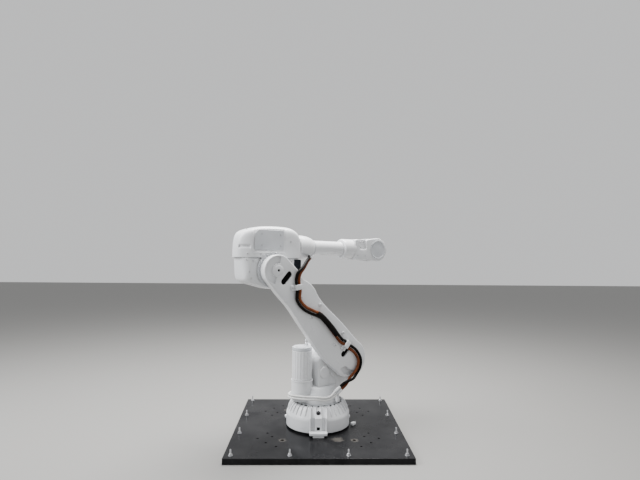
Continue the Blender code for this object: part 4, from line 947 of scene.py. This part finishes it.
def lower_arm():
    """Arm casting with elbow dish, hub hole, two cable slots and shoulder pocket, painted shade in the slots
    and hub hole, and its small fittings.
    """
    low, high, hole_r, hole_depth, well_depth = math.radians(36), math.radians(212), 0.009, 0.02, 0.03
    dish = np.vstack([circle(0.096, 40, ELBOW, low, high), circle(0.047, 24, ELBOW, high, low)])
    pocket = [(-0.1121, 0.018), (-0.066, -0.0063), (-0.0566, -0.0612), (-0.0236, -0.1062), (-0.0401, -0.1179),
              (-0.0755, -0.0999), (-0.1003, -0.072), (-0.118, -0.0297)]
    wells = [(rounded_line(dish, 0.01, True, 2), 0.012), (circle(hole_r, 20, ELBOW), hole_depth)]
    wells += [(stadium(0.108, 0.042, middle, turn), well_depth) for middle, turn in SLOTS]
    wells.append((rounded_line(pocket, 0.01, True, 4), well_depth))
    casting = slab(arm_outline(), -0.0625, 0.0, 0.0065, wells, 0.002)
    item = surface("arm_casting", on_arm(casting, 0, 0), WHITE, "lower_arm")
    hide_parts("lower_arm_casting")
    # Painted shade: near-black fills in the cable slots and the hub hole, for the dark inside them.
    slot_shades = [slab(stadium(0.1065, 0.0405, middle, turn), -0.0296, -0.012, 0.002) for middle, turn in SLOTS]
    slot_shades.append(slab(circle(hole_r - 0.0005, 20, ELBOW), -0.0198, -0.004, 0.001))
    surface("slot_painted_shade", on_arm(together(slot_shades), 0, 0), HOLLOW, "lower_arm")
    boss = turned_disc(0.0128, -0.002, BOSS_HEIGHT, 0.003, 28)
    hub = [(0.0095, -0.01), (0.0095, 0.006), (0.03, 0.004), (0.044, -0.004), (0.02, -0.01)]
    hub = on_arm(revolved(rounded_line(hub, 0.003)), *ELBOW)
    bosses = together([*(on_arm(boss, x, z) for x, z in ARM_BOSSES), hub])
    surface("arm_bosses", bosses, WHITE, "lower_arm")
    screw = cap_screw(0.006, 0.004)
    screws = together([on_arm(screw, x, z, rise=BOSS_HEIGHT) for x, z in ARM_BOSSES])
    surface("arm_screws", screws, ZINC, "lower_arm")


def clamps():
    """Two cast hose clamps with an ear, its bolt, and a strap over the hoses."""
    half, ear, ear_height, height, width = 0.027, -0.051, 0.016, 0.034, 0.018
    outline = [(ear, GAP), (half, GAP), (half, height), (-half, height), (-half, ear_height),
               (ear, ear_height)]
    body = placed(slab(rounded_line(outline, 0.006, True, 4), -width, width, 0.003), LAID)
    bolt = placed(hex_bolt(0.0075, 0.007), moved((ear - half) / 2, 0, ear_height - 0.0002))
    for name, (place, run) in CLAMPS.items():
        turn = -math.atan2(run[0], run[2])
        block = on_arm(body, *place, turn)
        item = surface(f"hose_clamp_{name}_block", block, WHITE, "lower_arm")
        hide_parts(f"hose_clamp_{name}")
        surface(f"hose_clamp_{name}_bolt", on_arm(bolt, *place, turn), ZINC, "lower_arm")


# Hoses and cables

CONNECTOR_MIDDLE = np.array((0.052, -HOSE_LINE, 0.283))
CONNECTOR_RUN = unit((0.84, 0.0, 0.54))
CONNECTOR_ACROSS = np.array((-CONNECTOR_RUN[2], 0.0, CONNECTOR_RUN[0]))
FITTING_HALF = 0.025
GLAND_MIDDLE = np.array((0.33, -0.052, 0.111))
GLAND_RUN = unit((0.64, 0.4, 0.66))
CLAMP_MOUTH = 0.027
CABLE_R = 0.0075
CABLE_PITCH = 0.018
CABLE_EXIT = -0.1423


def clamp_end(name, side):
    """Route points of the hoses just past a clamp's mouth and near its middle."""
    place, run = CLAMPS[name]
    middle = np.array((place[0], -HOSE_LINE, place[1]))
    return middle + run * side * CLAMP_MOUTH, middle


def hose_pair(name, knots, angles, shares, matrix, joined):
    """Corrugated black and copper-brown hoses along one route; where joined is given, the hoses ride on no
    body and their place is baked into their points, and the bodies and points it holds are not read.
    """
    route, share = smooth_route(knots, 0.00125)
    kinds = (("black", 1, RUBBER, "black_rubber"), ("copper", -1, COPPER, "copper_sleeve"))
    for kind, side, finish, label in kinds:
        shape = placed(pipe(paired(route, share, side, angles, shares), HOSE_R, 14, 0.0007), matrix)
        item = surface(f"{name}_{kind}_corrugated", shape, finish, None if joined else "lower_arm", 60)
        if joined:
            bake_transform(item)
        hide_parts(f"{name}_{kind}")
    return route


def hoses():
    """The two hoses in their three spans: connectors to low clamp, along the arm, high clamp to neck."""
    arm_in_turret = AXIS_1.inverted() @ AXIS_2
    start = CONNECTOR_MIDDLE + CONNECTOR_RUN * (FITTING_HALF + GAP)
    mouth, end = clamp_end("low", -1)
    knots = [start, start + CONNECTOR_RUN * 0.025, (0.13, -0.194, 0.334), (0.186, -0.194, 0.372),
             (0.234, -0.192, 0.424), (0.243, -0.193, 0.484), (0.206, -0.19, 0.548),
             arm_in_turret @ Vector(mouth), arm_in_turret @ Vector(end)]
    near, far = AXIS_1 @ Vector(start), AXIS_2 @ Vector(mouth)
    hose_pair("shoulder_hose", knots, (0, math.pi), (0.02, 0.4), AXIS_1, ("turret", "lower_arm", near, far))
    first_mouth, first = clamp_end("low", 1)
    last_mouth, last = clamp_end("high", -1)
    knots = [first, first_mouth, (0.024, -0.191, 0.182), (0.026, -0.198, 0.329), (0.02, -0.197, 0.438),
             (-0.006, -0.19, 0.5), (-0.034, -0.188, 0.576), (-0.03, -0.188, 0.651), last_mouth, last]
    route = hose_pair("arm_hose", knots, (math.pi, 0), (0.22, 0.56), AXIS_2, None)
    sleeve = pipe(route[(route[:, 2] > 0.24) & (route[:, 2] < 0.47)], 0.0212, 28)
    surface("hose_sleeve", placed(sleeve, AXIS_2), RUBBER, "lower_arm", 60)
    upper_in_arm = AXIS_2.inverted() @ AXIS_3
    mouth, end = clamp_end("high", 1)
    entry = GLAND_MIDDLE - GLAND_RUN * (FITTING_HALF + GAP)
    knots = [end, mouth, (0.066, -0.19, 0.768), (0.103, -0.189, 0.784)]
    knots += [upper_in_arm @ Vector(point) for point in
              ((0.198, -0.166, 0.019), (0.253, -0.122, 0.06), entry - GLAND_RUN * 0.015, entry)]
    near, far = AXIS_2 @ Vector(mouth), AXIS_3 @ Vector(entry)
    hose_pair("elbow_hose", knots, (0, 0.6), (0.05, 0.5), AXIS_2, ("lower_arm", "upper_arm", near, far))


def bracket():
    """Bracket on the turret's rim with two threaded connectors and their nuts."""
    plate = slab(rectangle(-0.188, 0.2, -0.128, 0.272, 0.006), 0.044, 0.06, 0.003)
    bore, thread, nut, end = 0.004, 0.0112, 0.0122, FITTING_HALF
    line = [(bore, -end), (thread, -end), (thread, -0.008), (nut, -0.006), (nut, 0.008), (thread, 0.01),
            (thread, end), (bore, end)]
    places = [facing(CONNECTOR_MIDDLE + CONNECTOR_ACROSS * side * HOSE_PITCH, CONNECTOR_RUN)
              for side in (-0.5, 0.5)]
    connectors = repeated(revolved(rounded_line(line, 0.0012), 28), places)
    whole = together([placed(plate, UPRIGHT), connectors])
    item = surface("connector_bracket", placed(whole, AXIS_1), WHITE, "turret")
    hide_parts("hose_bracket")


def cables():
    """Two white cables round the waist from the motor lobe to the connectors."""
    for name, side in (("waist_cable_low", -0.5), ("waist_cable_high", 0.5)):
        mid = 0.226 + side * CABLE_PITCH
        end = CONNECTOR_MIDDLE + CONNECTOR_ACROSS * side * HOSE_PITCH - CONNECTOR_RUN * (FITTING_HALF + GAP)
        knots = [(CABLE_EXIT, 0.1085, mid), (-0.1573, 0.1085, mid), (-0.19, 0.089, mid + 0.002),
                 (-0.223, 0.048, mid + 0.008), (-0.2345, 0.0, mid + 0.014), (-0.22, -0.055, mid + 0.018),
                 (-0.178, -0.113, mid + 0.02), (-0.115, -0.157, mid + 0.017), (-0.062, -0.177, mid + 0.01),
                 (-0.016, -0.186, mid + 0.015), end - CONNECTOR_RUN * 0.012, end]
        route = smooth_route(knots, 0.006, 0.0225)[0]
        shape = placed(pipe(route, CABLE_R, 20), AXIS_1)
        item = surface(f"{name}_sheath", shape, CABLE, "turret", 60)
        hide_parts(name)


# Upper arm

HOUSING_MIDDLE = (0.0, 0.025, 0.0862)
LOBE_MIDDLE = (0.0, 0.025, 0.0855)
HULL_POWER = 15


def on_side(shape, x, y, z, direction=RIGHT):
    """Set a shape made about Z on the upper arm at a place, its top pointing along a direction."""
    return placed(shape, AXIS_3 @ facing((x, y, z), direction))


def box_share(x, z, low, high, soft):
    """1 inside a box in x and z, falling to 0 over the soft width outside it, as a smooth step."""
    past = np.maximum(np.maximum(low[0] - x, x - high[0]), np.maximum(low[1] - z, z - high[1]))
    t = np.clip(1 - past / soft, 0, 1)
    return t * t * (3 - 2 * t)


def dented(points):
    """Slope the housing's rear top edge, p - 0.85 max(0, n.(p - c) - h) n, and press in its panel and grip
    groove, each to its depth times the box share of the place."""
    slope, height = np.array((-0.64, 0.0, 0.768)), 0.268
    proud = np.maximum(0, (points - HOUSING_MIDDLE) @ slope - height)
    points = points - 0.85 * np.outer(proud, slope)
    x, y, z = points.T
    panel = box_share(x, z, (-0.146, 0.133), (0.078, 0.276), 0.014) * np.clip((-0.072 - y) / 0.022, 0, 1)
    groove = box_share(x, z, (-0.232, 0.155), (-0.178, 0.165), 0.009) * (y < -0.03)
    return points + np.outer(panel * 0.0065, (0, 1, 0)) + np.outer(groove * 0.009, (0.35, 0.94, 0.0))


def filled(points):
    """Fill the lower casting's rear corner: p + 0.027 e b^2 w, where e = exp(-((z + 0.08) / 0.075)^2), b
    rises from 0 to 1 towards the rear and w points down and back."""
    x, z = points[:, 0], points[:, 2]
    rear = np.clip((-0.05 - x) / 0.13, 0, 1)
    fuller = 0.027 * np.exp(-(((z + 0.08) / 0.075) ** 2)) * rear**2
    return points + np.outer(fuller, (-0.75, 0, -0.66))


def spot_on(points, x, z):
    """The point of a side-facing surface nearest to (x, z) on the right, and the way it faces."""
    near = np.where(points[:, 1] < 0.02, np.hypot(points[:, 0] - x, points[:, 2] - z), 9)
    chosen = points[np.argsort(near)[:24]]
    middle = chosen.mean(0)
    normal = np.linalg.svd(chosen - middle)[2][2]
    return middle, normal * (-1 if normal[1] > 0 else 1)


def upper_arm():
    """Rounded housing over the elbow, its panel, lower casting, gear ring, plug box and fasteners."""
    points, faces = rounded_hull("upper_arm_cover", AXIS_3, HOUSING_MIDDLE, (0, 0, 1), HULL_POWER)
    cover = dented(points)
    item = surface("arm_housing", placed((cover, faces), AXIS_3), WHITE, "upper_arm", 50)
    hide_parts("upper_arm_cover")
    points, faces = rounded_hull("upper_arm_casting", AXIS_3, LOBE_MIDDLE, (0, 0, -1), HULL_POWER)
    lobe = filled(points)
    item = surface("arm_lower_lobe", placed((lobe, faces), AXIS_3), WHITE, "upper_arm", 50)
    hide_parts("upper_arm_casting")
    lay = AXIS_3 @ LAID
    outline = [(-0.1455, 0.1385), (0.076, 0.1385), (0.076, 0.2755), (-0.118, 0.2755), (-0.1455, 0.248)]
    panel_face = 0.0965
    panel = slab(rounded_line(outline, 0.01, True), panel_face - 0.004, panel_face, 0.0015)
    item = surface("service_panel", placed(panel, lay), GREY, "upper_arm")
    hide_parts("side_panel")
    screw = cap_screw(0.0048, 0.003)
    panel_spots = ((-0.093, 0.247), (0.051, 0.245), (-0.093, 0.17), (0.051, 0.168))
    screws = [on_side(screw, x, 0.0002 - panel_face, z) for x, z in panel_spots]
    cover_spots = ((-0.168, 0.279), (0.13, 0.2), (-0.19, 0.11), (-0.1, 0.11))
    lobe_spots = ((-0.19, 0.068), (-0.152, 0.062), (0.14, 0.06), (-0.176, -0.01), (-0.16, -0.055))
    for points, spots in ((cover, cover_spots), (lobe, lobe_spots)):
        for x, z in spots:
            middle, normal = spot_on(points, x, z)
            screws.append(on_side(cap_screw(0.0062, 0.0045), *(middle - normal * 0.0015), normal))
    surface("housing_screws", together(screws), ZINC, "upper_arm")
    gear_low = 0.0995
    gear = turned_disc(0.125, gear_low, 0.1045, 0.002, 120)
    gear = together([gear, turned_disc(0.112, gear_low, 0.1081, 0.0015, 96)])
    item = surface("elbow_gear_ring", placed(gear, lay), GREY, "upper_arm")
    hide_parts("elbow_gearbox")
    bolts = ringed(cap_screw(0.0045, 0.0036), 22, 0.1185, 0.1043, 0.07)
    surface("elbow_gear_bolts", placed(bolts, lay), ZINC, "upper_arm")
    well = (rectangle(0.174, 0.012, 0.213, 0.064, 0.004, 3), 0.003)
    plug = slab(rectangle(0.1652, 0.0012, 0.2218, 0.0758, 0.006), 0.047, 0.096, 0.004, [well])
    item = surface("elbow_plug_box", placed(plug, lay), DARK, "upper_arm")
    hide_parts("plug_box")


def neck():
    """Bulging cone between housing and forearm with a bolted root ring, and the two hose glands."""
    place = AXIS_4 @ FORWARD
    bore, root, ring_r, tip = 0.03, 0.2243, 0.0905, 0.3615
    cone = revolved(rounded_line([
        (bore, root), (ring_r, root), (ring_r, 0.234), (0.0868, 0.238), (0.0862, 0.272), (0.0815, 0.312),
        (0.0715, 0.345), (0.0615, tip), (bore, tip),
    ], [0, 0.002, 0.002, 0.004, 0.012, 0.012, 0.012, 0.004, 0]), 96)
    across = np.cross(GLAND_RUN, (0, 1, 0))
    across /= np.linalg.norm(across)
    inner, thread, tail, low, high = 0.004, 0.0122, 0.0133, -FITTING_HALF, 0.024
    gland = [(inner, low), (tail, low), (tail, -0.012), (thread, -0.01), (thread, high), (inner, high)]
    nut = revolved([(0.008, -0.006), (0.0162, -0.006), (0.0162, 0.006), (0.008, 0.006)], 6)
    gland = together([revolved(rounded_line(gland, 0.0012), 24), nut])
    places = [facing(GLAND_MIDDLE + across * side * HOSE_PITCH, GLAND_RUN) for side in (-0.5, 0.5)]
    whole = together([placed(cone, place), placed(repeated(gland, places), AXIS_3)])
    item = surface("neck_casting", whole, WHITE, "upper_arm")
    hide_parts("neck_cone")
    bolts = ringed(cap_screw(0.0042, 0.0045), 10, 0.0868, 0.2335, 0.31)
    surface("neck_bolts", placed(bolts, place), ZINC, "upper_arm")


# Forearm and wrist

def forearm():
    """Rotating collar and tube with a turned bead at each end."""
    place = AXIS_4 @ FORWARD
    bore, low, high, groove_r = 0.02, 0.3623, 0.3742, 0.0572
    collar = [(bore, low), (0.06, low), (0.06, 0.3655), (groove_r, 0.367), (groove_r, high), (bore, high)]
    collar = revolved(rounded_line(collar, 0.0009), 96)
    item = surface("collar_ring", placed(collar, place), GREY, "forearm")
    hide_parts("forearm_collar")
    low, high, bead_r, tube_r = 0.3746, 0.6347, 0.0545, 0.0535
    tube = revolved(rounded_line([
        (bore, low), (bead_r, low), (bead_r, 0.392), (tube_r, 0.395), (tube_r, 0.615), (bead_r, 0.618),
        (bead_r, high), (bore, high),
    ], [0, 0.0015, 0.002, 0.003, 0.003, 0.002, 0.0015, 0]), 96)
    item = surface("forearm_barrel", placed(tube, place), WHITE, "forearm")
    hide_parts("forearm_tube")


def wrist():
    """Wrist casting: round trunk, core and two stepped cheeks with round ends, and their covers."""
    trunk_r, trunk_low, trunk_high, fork = 0.0765, 0.6353, 0.744, 0.834
    cheek_near, cheek_far, core_side = 0.0507, 0.0728, 0.0587
    trunk = [(0.02, trunk_low), (trunk_r, trunk_low), (trunk_r, trunk_high), (0.02, trunk_high)]
    trunk = placed(revolved(rounded_line(trunk, [0, 0.016, 0.003, 0]), 96), FORWARD)
    core = slab(rectangle(0.732, -0.0825, fork, 0.0758, 0.006, 4), -core_side, core_side, 0.002)
    low = [(0.73, -0.082), (0.76, -0.084), (0.82, -0.0835), (0.87, -0.0845), (0.91, -0.0895)]
    rim = circle(0.093, 30, (WRIST_REACH, 0), -math.pi / 2, math.pi / 2)
    high = [(0.905, 0.0875), (0.87, 0.081), (0.843, 0.0775), (0.843, 0.0), (0.776, 0.0), (0.776, 0.0765),
            (0.73, 0.0765)]
    cheek = rounded_line(np.vstack([low, rim, high]), 0.016, True, 4)
    cheek = slab(cheek, cheek_near, cheek_far, 0.008, back=0.002)
    thin = slab(rectangle(0.824, -0.01, 0.86, 0.0768, 0.004, 3), cheek_near, 0.0575, 0.001)
    shapes = [trunk, placed(core, LAID)]
    for side in (Matrix.Identity(4), Matrix.Scale(-1, 4, (0, 1, 0))):
        shapes += [placed(cheek, side @ LAID), placed(thin, side @ LAID)]
    item = surface("wrist_casting", placed(together(shapes), AXIS_4), WHITE, "forearm")
    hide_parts("wrist_housing")
    line = [(0.004, 0.0733), (0.0742, 0.0733), (0.0742, 0.0768), (0.0735, 0.0782), (0.0692, 0.0782),
            (0.0655, 0.0748), (0.046, 0.0748), (0.02, 0.0766), (0.004, 0.0768)]
    cap = revolved(rounded_line(line, [0, 0.0005, 0.001, 0.001, 0.002, 0.003, 0.01, 0.01, 0]), 96)
    for hand_side, direction in (("right", RIGHT), ("left", LEFT)):
        shape = placed(cap, AXIS_4 @ facing((WRIST_REACH, 0, 0), direction))
        item = surface(f"wrist_cap_{hand_side}", shape, GREY, "forearm")
        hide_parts(f"wrist_cover_{hand_side}")
    screws = []
    core_spots, cheek_spots = ((0.79, 0.06), (0.79, 0.018), (0.822, 0.06)), ((0.755, -0.05), (0.83, -0.05))
    core_face, cheek_face = core_side + 0.0001, cheek_far - 0.0002
    for radius, face, spots in ((0.0035, core_face, core_spots), (0.0045, cheek_face, cheek_spots)):
        screw = cap_screw(radius, 0.003)
        for y, direction in ((-face, RIGHT), (face, LEFT)):
            screws += [placed(screw, facing((x, y, z), direction)) for x, z in spots]
    surface("wrist_screws", placed(together(screws), AXIS_4), ZINC, "forearm")


def hand():
    """Knuckle that tilts in the fork, its round nose, and the tool flange with its bolt circle."""
    radius, front, nose_low, nose_r, nose_high = 0.0798, 0.0795, 0.02, 0.045, 0.0958
    outline = np.vstack([circle(radius, 26, (0, 0), math.pi / 2, 3 * math.pi / 2),
                         [(0.04, -radius), (front, -0.046), (front, 0.046), (0.04, radius)]])
    body = placed(slab(outline, -0.0453, 0.0453, 0.006), LAID)
    trunnion = placed(turned_disc(0.05, -0.0501, 0.0501, 0.001, 72), LAID)
    nose = [(0.01, nose_low), (nose_r, nose_low), (nose_r, 0.088), (0.044, nose_high), (0.01, nose_high)]
    nose = placed(revolved(rounded_line(nose, 0.002), 72), FORWARD)
    knuckle = placed(together([body, trunnion, nose]), AXIS_5)
    item = surface("wrist_knuckle_casting", knuckle, WHITE, "wrist")
    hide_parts("wrist_knuckle")
    bolt_circle, hole_r, pin_angle = 0.033, 0.0034, 0.5
    angles = [*(np.arange(6) * math.pi / 3), pin_angle]
    spots = [(bolt_circle * math.cos(a), bolt_circle * math.sin(a)) for a in angles]
    wells = [(circle(0.022, 40), 0.006), *((circle(hole_r, 12, spot), 0.008) for spot in spots[:-1])]
    wells.append((circle(0.0025, 12, spots[-1]), 0.006))
    flange = placed(slab(circle(0.0445, 72), 0.0963, 0.118, 0.0012, wells, 0.0004), AXIS_5 @ FORWARD)
    item = surface("tool_flange_turned", flange, STEEL, "flange")
    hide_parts("tool_flange")


photo_camera()
studio()
dress_frame()
anchors()
locating_block()
base()
rear_plugs()
turret()
motors()
lower_arm()
clamps()
hoses()
bracket()
cables()
upper_arm()
neck()
forearm()
wrist()
hand()
